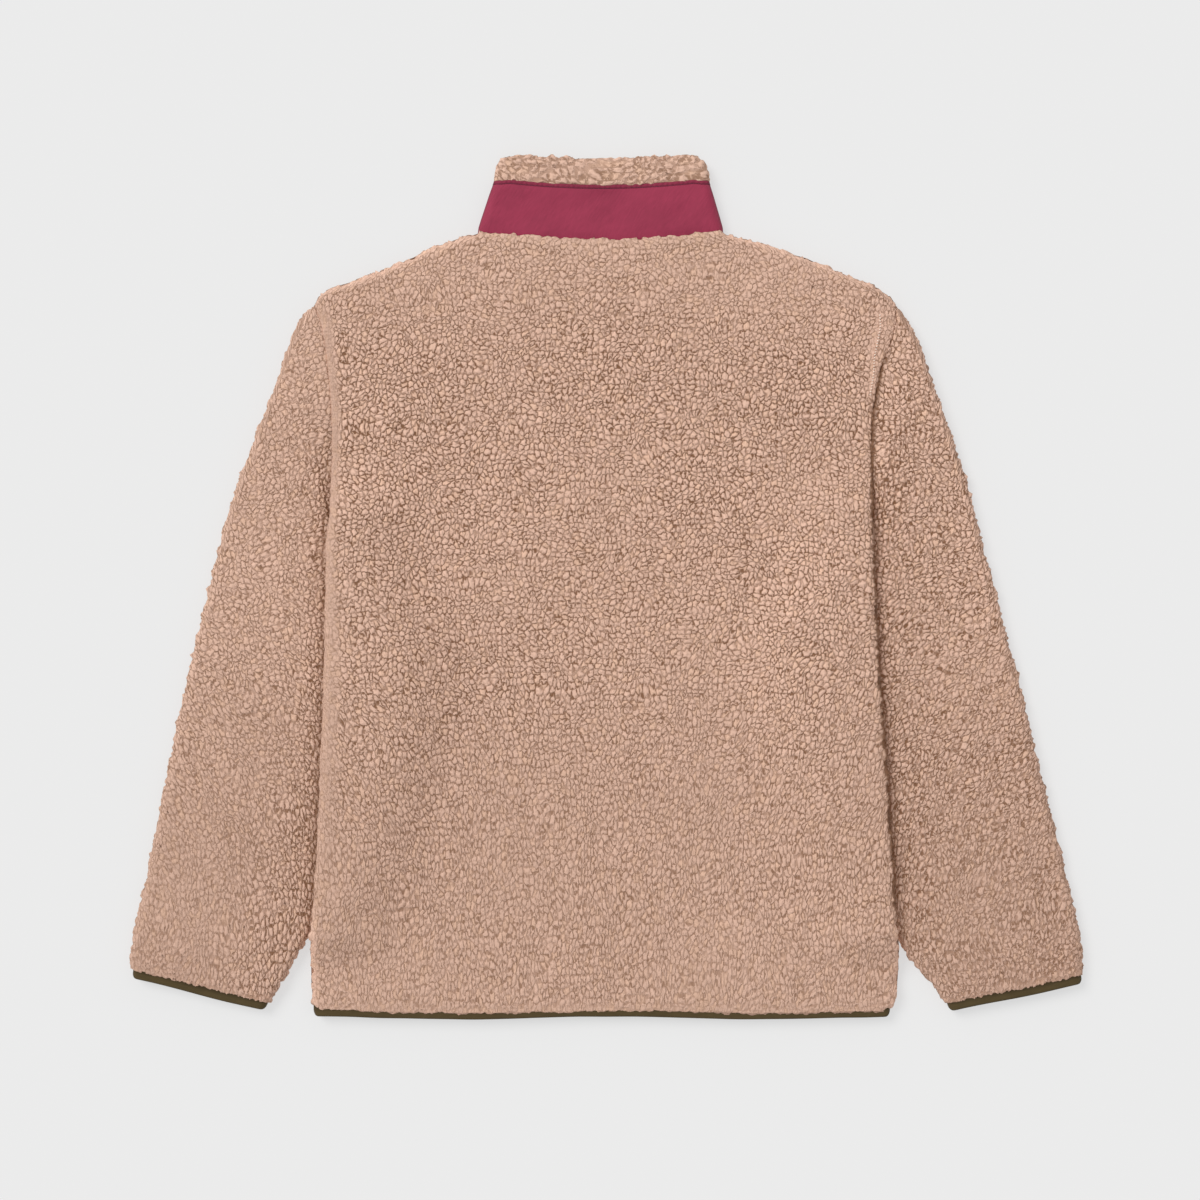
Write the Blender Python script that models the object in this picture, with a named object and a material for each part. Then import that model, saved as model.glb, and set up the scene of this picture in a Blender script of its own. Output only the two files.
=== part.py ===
"""Sherpa jacket lying flat with its back up, for Blender 4.5.

Units are metres. +Z is up, away from the surface the jacket lies on, and +Y points from the hem to
the collar. The underside is at z = 0 and the origin is at the middle of the jacket's box.

Every cloth piece is a wall. The two layers of the body, of a sleeve and of the collar lie on each
other, so each surface is given by its distance from the plane between the layers: inner faces are
near that plane and outer faces, with the pile, are far from it.
"""

import math
from collections import namedtuple

import bmesh
import bpy
from mathutils import Matrix, Vector

# ---------------------------------------------------------------------------------------------
# Driving dimensions
# ---------------------------------------------------------------------------------------------

SEAM = 0.0003  # gap between pieces that meet
WALL = 0.0080  # pile cloth, backing and pile together
INNER = SEAM / 2  # inner face of a layer, from the plane between the layers
OUTER = INNER + WALL  # outer face of a layer
FULL_HEIGHT = 2 * OUTER  # two layers of pile cloth
LIFT = FULL_HEIGHT + 2 * SEAM  # how far the body is raised where it lies on a sleeve

FOLD_EDGE = 0.18  # share of the wall that is left at a rounded edge
SEWN_EDGE = 0.62  # the same at an edge that is sewn to its neighbour
FOLD_ROUND = 0.0080  # reach of the rounding of a side edge
SEWN_ROUND = 0.0040

CENTRE_X = -0.0055  # centre front and centre back
NECK_HALF = 0.1145  # half width of the neck seam
NECK_Y = 0.3250  # side neck points
BACK_NECK_DROP = 0.0080
FRONT_NECK_DROP = 0.0450
NECK_CELLS = 3  # straight stretches of each half of the neck seam

UNDERARM_Y = 0.0220  # lower end of the armhole
TUCK_FALL = 0.0560  # width over which the body comes down beside a sleeve that lies under it
TUCK_START_Y = 0.1220  # the body starts to rise here, along the armhole
TUCK_FULL_Y = 0.0600  # and is fully raised here
TUCK_END_Y = -0.3160  # it starts to come down here
TUCK_DOWN_Y = -0.3560  # and lies flat again here

HEM_Y = -0.3981  # lower edge of the hem binding
HEM_WAVE = 0.0013
HEM_WAVE_LENGTH = 0.2790
HEM_WAVE_LOW_X = 0.1440
HEM_LEFT_X = -0.2673  # ends of the hem binding
HEM_RIGHT_X = 0.2592

BIND_WALL = 0.0011  # woven binding, folded round the edge of the pile cloth
BIND_INNER = 0.0005
BIND_WIDTH = 0.0095
BIND_CHAMFER = 0.0008
EDGE_WALL = 0.0038  # pile cloth pressed inside the binding
EDGE_INNER = BIND_INNER + BIND_WALL + SEAM
EDGE_OUTER = EDGE_INNER + EDGE_WALL
BIND_OUTER = EDGE_OUTER + SEAM + BIND_WALL
EDGE_INSET = 0.0016  # end of the pile cloth, from the lower edge of the binding
EDGE_PRESSED = 0.0086  # length that is pressed
EDGE_FULL = 0.0120  # where it has its full thickness again

BAND_WALL = 0.00125  # woven band round the collar
BAND_INNER = OUTER - BAND_WALL
BAND_SHARE = 0.672  # height of the band as a share of the collar's
UNDER_BAND = BAND_INNER - SEAM
COLLAR_TOP_Y = 0.4001
COLLAR_TOP_DIP = 0.0055
COLLAR_TOP_HALF = 0.0975
COLLAR_TOP_X = -0.0045
COLLAR_LEAN = 0.0450  # how much lower the collar's top is at the centre front

FRONT_EDGE = 0.0055  # each front edge, from the centre front
PLACKET_INNER = 0.00315  # the fronts are thinner where the zip tape lies
PLACKET_WIDTH = 0.0140
PLACKET_RISE = 0.0180
COLLAR_TAPER = (0.20, 0.40)  # where the collar's front starts to lean in, as shares of its half

TAPE_NEAR = 0.0031  # zip tape, from the centre front
TAPE_FAR = 0.0171
TAPE_INNER = 0.00225
TAPE_WALL = 0.0006
TAPE_BOTTOM_Y = -0.3830
TAPE_TOP_INSET = 0.0030
CHAIN_HALF = 0.0028
CHAIN_LOW = 0.0044
CHAIN_HIGH = 0.0068
CHAIN_CHAMFER = 0.0007

SLIDER_Y = 0.3300
SLIDER_HALF_WIDTH = 0.0043
SLIDER_HALF_LENGTH = 0.0060
PLATE_OUTSIDE = (0.0029, 0.0041)  # lowest and highest z of the two plates
PLATE_INSIDE = (0.0071, 0.0080)
FLANGE_NEAR = 0.0032
FLANGE_OUTSIDE_TOP = 0.0050
FLANGE_INSIDE_LOW = 0.0062
WEDGE_HALF = 0.0011
WEDGE_START = 0.0022  # from the slider's middle, above the end of the chain
CROWN_HALF = 0.0008
CROWN_REACH = 0.0040
CROWN_LOW = 0.0003
CROWN_WINDOW_TOP = 0.0012
CROWN_POST = 0.0014

PIN_Z = 0.0020  # axis of the pull tab's hinge
PULL_THICKNESS = 0.0010
PULL_HALF_WIDTH = 0.0027
PULL_LENGTH = 0.0270
PULL_BAR = 0.0005  # end bar, from the hinge's axis to its outer side
PULL_EYE_HALF = 0.0012
PULL_EYE_END = 0.0050
GRIP_SLOT_HALF = 0.0010
GRIP_SLOT = (0.0185, 0.0240)

Side = namedtuple("Side", "y left right")
SIDES = (  # armholes, then side edges, seen from above
    Side(0.2600, -0.2690, 0.2665),
    Side(0.2410, -0.2625, 0.2655),
    Side(0.2230, -0.2590, 0.2605),
    Side(0.1980, -0.2560, 0.2520),
    Side(0.1470, -0.2525, 0.2445),
    Side(0.0750, -0.2530, 0.2430),
    Side(0.0370, -0.2565, 0.2440),
    Side(-0.0280, -0.2575, 0.2465),
    Side(-0.0920, -0.2590, 0.2500),
    Side(-0.1690, -0.2620, 0.2555),
    Side(-0.2400, -0.2650, 0.2600),
    Side(-0.2960, -0.2685, 0.2640),
    Side(-0.3480, -0.2710, 0.2675),
    Side(-0.3830, -0.2705, 0.2655),
    Side(-0.3870, -0.2647, 0.2566),
    Side(-0.3970, -0.2647, 0.2566),
)

SIDE_LENGTH = SIDES[0].y - (HEM_Y + EDGE_INSET)

Tuck = namedtuple("Tuck", "y width")
TUCKS = (  # how wide the body is raised, from its side edges, over the sleeves under it
    Tuck(0.0600, 0.0180),
    Tuck(0.0200, 0.0240),
    Tuck(-0.0080, 0.0360),
    Tuck(-0.0300, 0.0530),
    Tuck(-0.0600, 0.0640),
    Tuck(-0.1000, 0.0650),
    Tuck(-0.1650, 0.0530),
    Tuck(-0.2500, 0.0330),
    Tuck(-0.3160, 0.0140),
)

Shoulder = namedtuple("Shoulder", "out left right")
SHOULDERS = (  # shoulder seams: out is the distance from the centre line
    Shoulder(0.1145, 0.3250, 0.3250),
    Shoulder(0.1480, 0.3145, 0.3155),
    Shoulder(0.1800, 0.2995, 0.3045),
    Shoulder(0.2220, 0.2825, 0.2885),
    Shoulder(0.2570, 0.2705, 0.2740),
    Shoulder(0.2640, 0.2600, 0.2690),
    Shoulder(0.2720, 0.2600, 0.2600),
)

Station = namedtuple("Station", "outer_x outer_y inner_x inner_y")
LEFT_SLEEVE = (  # from below the armhole to just above the cuff: outer fold and inner fold
    Station(-0.2860, 0.2410, -0.2500, 0.0050),
    Station(-0.2970, 0.2100, -0.2370, -0.0080),
    Station(-0.3090, 0.1770, -0.2230, -0.0240),
    Station(-0.3230, 0.1410, -0.2110, -0.0450),
    Station(-0.3390, 0.0980, -0.2050, -0.0700),
    Station(-0.3545, 0.0480, -0.2045, -0.1000),
    Station(-0.3725, -0.0250, -0.2090, -0.1350),
    Station(-0.3890, -0.0940, -0.2175, -0.1720),
    Station(-0.4040, -0.1650, -0.2285, -0.2120),
    Station(-0.4160, -0.2250, -0.2425, -0.2550),
    Station(-0.4265, -0.2780, -0.2605, -0.2960),
    Station(-0.4375, -0.3270, -0.2840, -0.3390),
)
RIGHT_SLEEVE = (
    Station(0.2830, 0.2360, 0.2385, 0.0050),
    Station(0.2940, 0.2080, 0.2255, -0.0080),
    Station(0.3040, 0.1800, 0.2120, -0.0240),
    Station(0.3170, 0.1430, 0.2005, -0.0450),
    Station(0.3325, 0.0950, 0.1950, -0.0700),
    Station(0.3475, 0.0380, 0.1950, -0.1000),
    Station(0.3665, -0.0350, 0.1995, -0.1360),
    Station(0.3835, -0.1000, 0.2085, -0.1750),
    Station(0.3995, -0.1680, 0.2200, -0.2160),
    Station(0.4140, -0.2250, 0.2345, -0.2590),
    Station(0.4270, -0.2790, 0.2535, -0.2990),
    Station(0.4380, -0.3290, 0.2760, -0.3380),
)

Cuff = namedtuple("Cuff", "outer_x outer_y inner_x inner_y")  # lower edge of the cuff binding
LEFT_CUFF = Cuff(-0.4348, -0.3620, -0.3185, -0.3905)
RIGHT_CUFF = Cuff(0.4343, -0.3675, 0.3205, -0.3915)
CUFF_SPREAD = 0.0080  # how much wider the sleeve is than its binding, at each fold

TOP_ROWS = (0.2600, 0.2576)  # y of the rows of the body's panels where they meet the side
ARMHOLE_ROWS = (0.2520, 0.2220, 0.1900, 0.1560, 0.1220, 0.1000, 0.0800, 0.0600, 0.0440, 0.0300)
SIDE_ROWS = (
    0.0080, -0.0180, -0.0440, -0.0750, -0.1150, -0.1600, -0.2050, -0.2500, -0.2850, -0.3160,
    -0.3360, -0.3560, -0.3720,
)  # fmt: skip
SIDE_INSETS = (0.0, 0.0024, 0.0080, 0.0260, 0.0440, 0.0620, 0.0800, 0.0980, 0.1230)
ARMHOLE_SHARES = (1.0, 0.80, 0.40, 0.15)  # how far a sleeve's first sections follow the armhole
ARMHOLE_END = 0.16  # place of the second section, from the armhole to the next station
TURN_STEPS = 4  # facets of a fold

Finish = namedtuple("Finish", "colour roughness metallic")
PILE = Finish((0.60, 0.38, 0.27), 0.95, 0.0)
BAND_CLOTH = Finish((0.33, 0.045, 0.10), 0.75, 0.0)
BINDING_CLOTH = Finish((0.075, 0.048, 0.012), 0.80, 0.0)
TAPE_CLOTH = Finish((0.055, 0.035, 0.012), 0.85, 0.0)
CHAIN_PLASTIC = Finish((0.05, 0.032, 0.012), 0.45, 0.0)
ZIP_METAL = Finish((0.30, 0.24, 0.15), 0.35, 1.0)


# ---------------------------------------------------------------------------------------------
# Small helpers
# ---------------------------------------------------------------------------------------------

def mix(a, b, share):
    """The value that lies at share between a and b."""
    return a + (b - a) * share


def smooth(value, start, end):
    """0 at start, 1 at end, and an S between them."""
    share = min(max((value - start) / (end - start), 0.0), 1.0)
    return share * share * (3 - 2 * share)


def read_table(rows, key, column, value):
    """Straight-line reading of a table's column at a value of its key."""
    pairs = sorted((getattr(row, key), getattr(row, column)) for row in rows)
    if value <= pairs[0][0]:
        return pairs[0][1]
    for (low_key, low), (high_key, high) in zip(pairs, pairs[1:]):
        if value <= high_key:
            return mix(low, high, (value - low_key) / (high_key - low_key))
    return pairs[-1][1]


def rounding(inset, start, reach):
    """Share of the wall at a distance from an edge that is rounded over its reach."""
    share = min(max(inset / reach, 0.0), 1.0)
    return mix(start, 1.0, math.sqrt(1 - (1 - share) ** 2))


def material(name, finish):
    """A Principled material of one finish."""
    made = bpy.data.materials.new(name)
    made.use_nodes = True
    shader = made.node_tree.nodes["Principled BSDF"]
    shader.inputs["Base Color"].default_value = (*finish.colour, 1.0)
    shader.inputs["Roughness"].default_value = finish.roughness
    shader.inputs["Metallic"].default_value = finish.metallic
    made.diffuse_color = (*finish.colour, 1.0)
    return made


def add_object(name, bm, finish):
    """An object from a bmesh, with its faces turned outwards."""
    bmesh.ops.recalc_face_normals(bm, faces=bm.faces)
    mesh = bpy.data.meshes.new(name)
    bm.to_mesh(mesh)
    bm.free()
    mesh.shade_smooth()
    mesh.set_sharp_from_angle(angle=math.radians(40))
    mesh.materials.append(finish)
    made = bpy.data.objects.new(name, mesh)
    bpy.context.scene.collection.objects.link(made)
    return made


# ---------------------------------------------------------------------------------------------
# The jacket's outline
# ---------------------------------------------------------------------------------------------

def side_x(hand, y):
    """The body's side edge, hand being left or right."""
    return read_table(SIDES, "y", hand, y)


def hem_y(x):
    """Lower edge of the hem binding, which waves a little."""
    turn = 2 * math.pi * (x - HEM_WAVE_LOW_X) / HEM_WAVE_LENGTH
    return HEM_Y - HEM_WAVE * math.cos(turn)


def neck_y(x, drop):
    """The neck seam, in straight stretches, with its drop at the centre."""
    place = min(abs(x - CENTRE_X) / NECK_HALF, 1.0) * NECK_CELLS
    cell = min(int(place), NECK_CELLS - 1)
    depths = [1 - (knot / NECK_CELLS) ** 2 for knot in (cell, cell + 1)]
    return NECK_Y - drop * mix(depths[0], depths[1], place - cell)


def top_y(x, drop):
    """The upper edge of a body panel: its neck seam and shoulder seams."""
    out = abs(x - CENTRE_X)
    if out < NECK_HALF:
        return neck_y(x, drop)
    return read_table(SHOULDERS, "out", "left" if x < CENTRE_X else "right", out)


def body_lift(x, y):
    """How far the body is raised over the parts of the sleeves that lie under it."""
    inset = min(x - side_x("left", y), side_x("right", y) - x)
    width = read_table(TUCKS, "y", "width", y)
    across = 1 - smooth(inset, width, width + TUCK_FALL)
    start = 1 - smooth(y, TUCK_FULL_Y, TUCK_START_Y)
    end = smooth(y, TUCK_DOWN_Y, TUCK_END_Y)
    return LIFT * across * start * end


# ---------------------------------------------------------------------------------------------
# Body panels: a net of points, once for each face of the wall, joined round the rim
# ---------------------------------------------------------------------------------------------

Column = namedtuple("Column", "hand share side out")  # shares and distances from side to centre


def half_reach(hand):
    """Distance from the centre line to the shoulder tip."""
    return abs(side_x(hand, SIDES[0].y) - CENTRE_X)


def half_columns(hand, insets):
    """Columns of one half of the body from their distances from its side edge."""
    reach = half_reach(hand)
    return [Column(hand, inset / reach, inset, reach - inset) for inset in insets]


def neck_insets(hand):
    """Distances from the side edge of the columns from the side neck point to the centre."""
    neck = half_reach(hand) - NECK_HALF
    return [neck + NECK_HALF * knot / NECK_CELLS for knot in range(NECK_CELLS + 1)]


def net_point(column, v, drop):
    """A point of a column, v running from its top to the end of the cloth at the hem."""
    xs = [mix(side_x(column.hand, SIDES[0].y - place * SIDE_LENGTH), CENTRE_X, column.share)
          for place in (0.0, v, 1.0)]
    return xs[1], mix(top_y(xs[0], drop), hem_y(xs[2]) + EDGE_INSET, v)


def body_rows():
    """The rows of a body panel as shares of its length at the side."""
    bottom = SIDES[0].y - SIDE_LENGTH
    heights = [*TOP_ROWS, *ARMHOLE_ROWS, *SIDE_ROWS]
    heights += [bottom + EDGE_FULL, bottom + EDGE_PRESSED, bottom]
    return [(SIDES[0].y - y) / SIDE_LENGTH for y in heights]


def wall_faces(column, y, v, placket):
    """Inner and outer distances of a panel's wall at a place of a column."""
    pressed = 1 - smooth((1 - v) * SIDE_LENGTH, EDGE_PRESSED, EDGE_FULL)
    sewn = smooth(y, TUCK_FULL_Y, TUCK_START_Y)
    folded_side = rounding(column.side, FOLD_EDGE, FOLD_ROUND)
    sewn_side = rounding(column.side, SEWN_EDGE, SEWN_ROUND)
    shares = [mix(folded_side, sewn_side, sewn)]
    if column.out < NECK_HALF + SEAM:
        shares.append(rounding(v * SIDE_LENGTH, SEWN_EDGE, SEWN_ROUND))
    else:
        shares.append(rounding(v * SIDE_LENGTH, FOLD_EDGE, FOLD_ROUND))
    inner = INNER
    if placket:
        from_edge = column.out - FRONT_EDGE
        inner = mix(PLACKET_INNER, INNER, smooth(from_edge, PLACKET_WIDTH, PLACKET_RISE))
        shares.append(rounding(from_edge, SEWN_EDGE, SEWN_ROUND))
    inner = mix(inner, EDGE_INNER, pressed)
    thick = mix(OUTER, EDGE_OUTER, pressed) - inner
    return inner, inner + thick * min(shares)


def join_rings(bm, first, second):
    """Faces between two closed rows of points of equal length."""
    for place in range(len(first)):
        after = (place + 1) % len(first)
        bm.faces.new((first[place], first[after], second[after], second[place]))


def add_panel(name, face, columns, drop, finish, placket=False):
    """A body panel. face is 1 for the upper layer and -1 for the lower one."""
    bm = bmesh.new()
    nets = ([], [])
    for v in body_rows():
        for net in nets:
            net.append([])
        for column in columns:
            x, y = net_point(column, v, drop)
            level = OUTER + body_lift(x, y)
            for net, distance in zip(nets, wall_faces(column, y, v, placket)):
                net[-1].append(bm.verts.new((x, y, level + face * distance)))
    for net in nets:
        for upper, lower in zip(net, net[1:]):
            for place in range(len(columns) - 1):
                bm.faces.new((upper[place], upper[place + 1], lower[place + 1]))
                bm.faces.new((upper[place], lower[place + 1], lower[place]))
    rims = [net[0] + [row[-1] for row in net[1:]] + net[-1][-2::-1]
            + [row[0] for row in net[-2:0:-1]] for net in nets]
    join_rings(bm, *rims)
    return add_object(name, bm, finish)


def add_body(finish):
    """The back and the two fronts."""
    halves = {}
    for hand in ("left", "right"):
        halves[hand] = half_columns(hand, [*SIDE_INSETS, *neck_insets(hand)])
    columns = halves["left"] + halves["right"][-2::-1]
    add_panel("back", 1, columns, BACK_NECK_DROP, finish)
    for hand in ("left", "right"):
        outs = (PLACKET_RISE, PLACKET_WIDTH, SEWN_ROUND, 0.0)
        reach = half_reach(hand) - FRONT_EDGE
        columns = halves[hand][:-1] + half_columns(hand, [reach - out for out in outs])
        if hand == "right":
            columns.reverse()
        add_panel("front_" + hand, -1, columns, FRONT_NECK_DROP, finish, placket=True)


# ---------------------------------------------------------------------------------------------
# Sleeves: closed rings round a flattened tube
# ---------------------------------------------------------------------------------------------

def cuff_frame(cuff):
    """The cuff's outer corner, its direction to the inner corner and the way up the sleeve."""
    outer = Vector((cuff.outer_x, cuff.outer_y))
    inner = Vector((cuff.inner_x, cuff.inner_y))
    along = (inner - outer).normalized()
    up = Vector((-along.y, along.x))
    return outer, inner, along, up if up.y > 0 else -up


def armhole_point(hand, share):
    """A point of the armhole from the shoulder to the underarm, just outside the body."""
    y = mix(SIDES[0].y, UNDERARM_Y, share)
    out = -SEAM if hand == "left" else SEAM
    return Vector((side_x(hand, y) + out, y))


def ring_line(hand, start, end, share):
    """The plan of one section as a function of its place, with its part of the armhole's curve."""
    bow = [armhole_point(hand, place) for place in (0, 1)]

    def line(place):
        held = min(max(place, 0.0), 1.0)
        bend = armhole_point(hand, held) - (bow[0] * (1 - held) + bow[1] * held)
        return start + (end - start) * place + bend * share

    return line


def ring(bm, line, width, axis_inset, radius):
    """A flattened ring of points, radius from the plane between the layers."""
    points = []
    reach = axis_inset / width
    span = ARMHOLE_ROWS[0] - ARMHOLE_ROWS[-1]
    places = [mix(reach, 1 - reach, (ARMHOLE_ROWS[0] - y) / span) for y in ARMHOLE_ROWS]
    for place in places:
        points.append((*line(place), OUTER + radius))
    points += turn(line, width, 1 - reach, 1, radius)
    for place in reversed(places):
        points.append((*line(place), OUTER - radius))
    points += turn(line, width, reach, -1, radius)
    return [bm.verts.new(point) for point in points]


def turn(line, width, place, way, radius):
    """The points of a fold, between its upper and lower layer."""
    points = []
    for step in range(1, TURN_STEPS):
        angle = math.pi * step / TURN_STEPS
        share = place + way * radius * math.sin(angle) / width
        points.append((*line(share), OUTER + way * radius * math.cos(angle)))
    return points


def add_sleeve(name, hand, stations, cuff, finish):
    """A sleeve from its armhole to the end that the cuff binding holds."""
    bm = bmesh.new()
    ends = [(armhole_point(hand, 0), armhole_point(hand, 1))]
    ends += [(Vector((station.outer_x, station.outer_y)), Vector((station.inner_x, station.inner_y)))
             for station in stations]
    ends.insert(1, tuple(mix(ends[0][item], ends[1][item], ARMHOLE_END) for item in (0, 1)))
    shares = list(ARMHOLE_SHARES) + [0.0] * (len(ends) - len(ARMHOLE_SHARES))
    sections = [(start, end, share, OUTER, INNER, OUTER) for (start, end), share in zip(ends, shares)]
    sections[0] = (*sections[0][:5], OUTER * SEWN_EDGE)
    outer, inner, along, up = cuff_frame(cuff)
    for height, spread, axis, hole, radius in (
            (EDGE_INSET + EDGE_FULL, CUFF_SPREAD, OUTER, INNER, OUTER),
            (EDGE_INSET + EDGE_PRESSED, 0.0, BIND_OUTER, EDGE_INNER, EDGE_OUTER),
            (EDGE_INSET, 0.0, BIND_OUTER, EDGE_INNER, EDGE_OUTER)):
        start = outer + up * height - along * spread
        end = inner + up * height + along * spread
        sections.append((start, end, 0.0, axis, hole, radius))
    walls = ([], [])
    for start, end, share, axis, hole, radius in sections:
        line = ring_line(hand, start, end, share)
        width = (end - start).length
        walls[0].append(ring(bm, line, width, axis, radius))
        walls[1].append(ring(bm, line, width, axis, hole))
    for wall in walls:
        for upper, lower in zip(wall, wall[1:]):
            join_rings(bm, upper, lower)
    for place in (0, -1):
        join_rings(bm, walls[0][place], walls[1][place])
    return add_object(name, bm, finish)


def binding_profile():
    """The folded binding: heights above its lower edge and distances from the middle plane."""
    inner_skin = BIND_INNER + BIND_WALL
    outer_skin = BIND_OUTER - BIND_WALL
    return (
        (BIND_WIDTH, BIND_OUTER), (BIND_CHAMFER, BIND_OUTER), (0.0, BIND_OUTER - BIND_CHAMFER),
        (0.0, BIND_INNER + BIND_CHAMFER), (BIND_CHAMFER, BIND_INNER), (BIND_WIDTH, BIND_INNER),
        (BIND_WIDTH, inner_skin), (BIND_WALL, inner_skin), (BIND_WALL, outer_skin),
        (BIND_WIDTH, outer_skin),
    )  # fmt: skip


def add_cuff_binding(name, cuff, finish):
    """The binding round a cuff: its profile swept round the flattened ring."""
    bm = bmesh.new()
    outer, inner, _along, up = cuff_frame(cuff)
    width = (inner - outer).length
    rings = []
    for height, distance in binding_profile():
        start = outer + up * height
        line = lambda place, start=start: start + (inner - outer) * place
        rings.append(ring(bm, line, width, BIND_OUTER, distance))
    for first, second in zip(rings, rings[1:] + rings[:1]):
        join_rings(bm, first, second)
    return add_object(name, bm, finish)


# ---------------------------------------------------------------------------------------------
# Collar and hem binding: profiles swept round the body from one front edge to the other
# ---------------------------------------------------------------------------------------------

Stop = namedtuple("Stop", "layer place angle")  # layer -1 front, 1 back, 0 a fold


def sweep_stops(front_places, back_places, fold_place):
    """Stops from the left front edge over the left fold, the back and the right fold."""
    stops = [Stop(-1, -place, 0.0) for place in front_places]
    stops += [Stop(0, -fold_place, -math.pi / 2 + math.pi * step / TURN_STEPS)
              for step in range(TURN_STEPS + 1)]
    stops += [Stop(1, place, 0.0) for place in back_places]
    stops += [Stop(0, fold_place, math.pi / 2 - math.pi * step / TURN_STEPS)
              for step in range(TURN_STEPS + 1)]
    stops += [Stop(-1, place, 0.0) for place in reversed(front_places)]
    return stops


def add_sweep(name, stops, profile, locate, finish):
    """A wall round the body. locate gives the point for a stop, a height and a distance."""
    bm = bmesh.new()
    rings = []
    for stop in stops:
        rings.append([bm.verts.new(locate(stop, *pair)) for pair in profile(stop)])
    for first, second in zip(rings, rings[1:]):
        join_rings(bm, first, second)
    for end in (rings[0], rings[-1]):
        bm.faces.new(end)
    bmesh.ops.triangulate(bm, faces=[face for face in bm.faces if len(face.verts) > 4])
    return add_object(name, bm, finish)


def swept_z(stop, distance):
    """Height of a swept point above the ground."""
    if stop.layer:
        return OUTER + stop.layer * distance
    return OUTER + distance * math.sin(stop.angle)


def fold_shift(stop, distance):
    """How far a point of a fold stands out sideways from the fold's axis."""
    if stop.layer:
        return 0.0
    return math.copysign(distance * math.cos(stop.angle), stop.place)


def collar_point(stop, height, distance):
    """A point of the collar: height is a share from the neck seam to the top."""
    across = abs(stop.place)
    dip = 1 - across ** 2
    shift = fold_shift(stop, distance)
    base_x = CENTRE_X + NECK_HALF * stop.place + shift
    top_x = COLLAR_TOP_X + COLLAR_TOP_HALF * stop.place + shift
    if stop.layer < 0:
        top_x = mix(base_x, top_x, smooth(across, *COLLAR_TAPER))
    back = (neck_y(base_x, BACK_NECK_DROP), COLLAR_TOP_Y - COLLAR_TOP_DIP * dip)
    front = (neck_y(base_x, FRONT_NECK_DROP), COLLAR_TOP_Y - COLLAR_LEAN * dip)
    low, high = back if stop.layer > 0 or stop.layer == 0 and stop.angle > -0.01 else front
    return mix(base_x, top_x, height), mix(low + SEAM, high, height), swept_z(stop, distance)


def collar_pile_profile(stop):
    """The pile wall of the collar, thinner under the band and near the zip."""
    near_zip = stop.layer < 0 and abs(stop.place) * NECK_HALF < FRONT_EDGE + PLACKET_WIDTH + 0.001
    inner = PLACKET_INNER if near_zip else INNER
    above = BAND_SHARE + 0.012
    return (
        (0.0, UNDER_BAND), (above, UNDER_BAND), (above + 0.03, OUTER), (0.90, OUTER),
        (0.97, OUTER * 0.80), (1.0, OUTER * 0.45), (1.0, inner), (0.5, inner), (0.0, inner),
    )  # fmt: skip


def collar_band_profile(_stop):
    """The woven band outside the pile wall."""
    return (0.0, BAND_INNER), (BAND_SHARE, BAND_INNER), (BAND_SHARE, OUTER), (0.0, OUTER)


def add_collar(pile, band):
    """The collar's pile wall and its band."""
    fold_place = 1 - OUTER / NECK_HALF
    outs = (FRONT_EDGE, FRONT_EDGE + PLACKET_WIDTH, FRONT_EDGE + PLACKET_RISE)
    knots = [knot / NECK_CELLS for knot in range(1, NECK_CELLS)]
    front_places = [out / NECK_HALF for out in outs] + knots
    back_places = [-knot for knot in reversed(knots)] + [0.0] + knots
    stops = sweep_stops(front_places, back_places, fold_place)
    add_sweep("collar_pile", stops, collar_pile_profile, collar_point, pile)
    add_sweep("collar_band", stops, collar_band_profile, collar_point, band)


def hem_point(stop, height, distance):
    """A point of the hem binding: height is above its lower edge."""
    middle = (HEM_LEFT_X + HEM_RIGHT_X) / 2
    half = (HEM_RIGHT_X - HEM_LEFT_X) / 2
    x = middle + half * stop.place + fold_shift(stop, distance)
    return x, hem_y(x) + height, swept_z(stop, distance)


def add_hem_binding(finish):
    """The binding round the hem, from one front edge to the other."""
    middle = (HEM_LEFT_X + HEM_RIGHT_X) / 2
    half = (HEM_RIGHT_X - HEM_LEFT_X) / 2
    fold_place = 1 - BIND_OUTER / half
    ends = {-1: (middle - CENTRE_X + FRONT_EDGE) / half, 1: (CENTRE_X + FRONT_EDGE - middle) / half}
    knots = [0.12, 0.24, 0.36, 0.48, 0.60, 0.72, 0.84]
    back_places = [-knot for knot in reversed(knots)] + [0.0] + knots
    stops = sweep_stops(knots, back_places, fold_place)
    stops = [Stop(-1, -ends[-1], 0.0)] + stops + [Stop(-1, ends[1], 0.0)]
    add_sweep("hem_binding", stops, lambda _stop: binding_profile(), hem_point, finish)


# ---------------------------------------------------------------------------------------------
# The zip at the centre front
# ---------------------------------------------------------------------------------------------

def add_box(name, low, high, finish, chamfer=0.0):
    """A box between two corners, its edges chamfered where asked."""
    bm = bmesh.new()
    middle = [(a + b) / 2 for a, b in zip(low, high)]
    size = [b - a for a, b in zip(low, high)]
    bmesh.ops.create_cube(bm, size=1.0, matrix=Matrix.LocRotScale(middle, None, size))
    if chamfer:
        bmesh.ops.bevel(bm, geom=bm.edges, offset=chamfer, segments=1, affect="EDGES")
    return add_object(name, bm, finish)


def combine(base, others, operation):
    """The base joined with, or cut by, the other solids, which are used up."""
    for other in others:
        cut = base.modifiers.new(operation.lower(), "BOOLEAN")
        cut.operation = operation
        cut.object = other
        bpy.context.view_layer.update()
        seen = base.evaluated_get(bpy.context.evaluated_depsgraph_get())
        result = bpy.data.meshes.new_from_object(seen)
        base.modifiers.remove(cut)
        base.data = result
        bpy.data.objects.remove(other)
    return base


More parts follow.
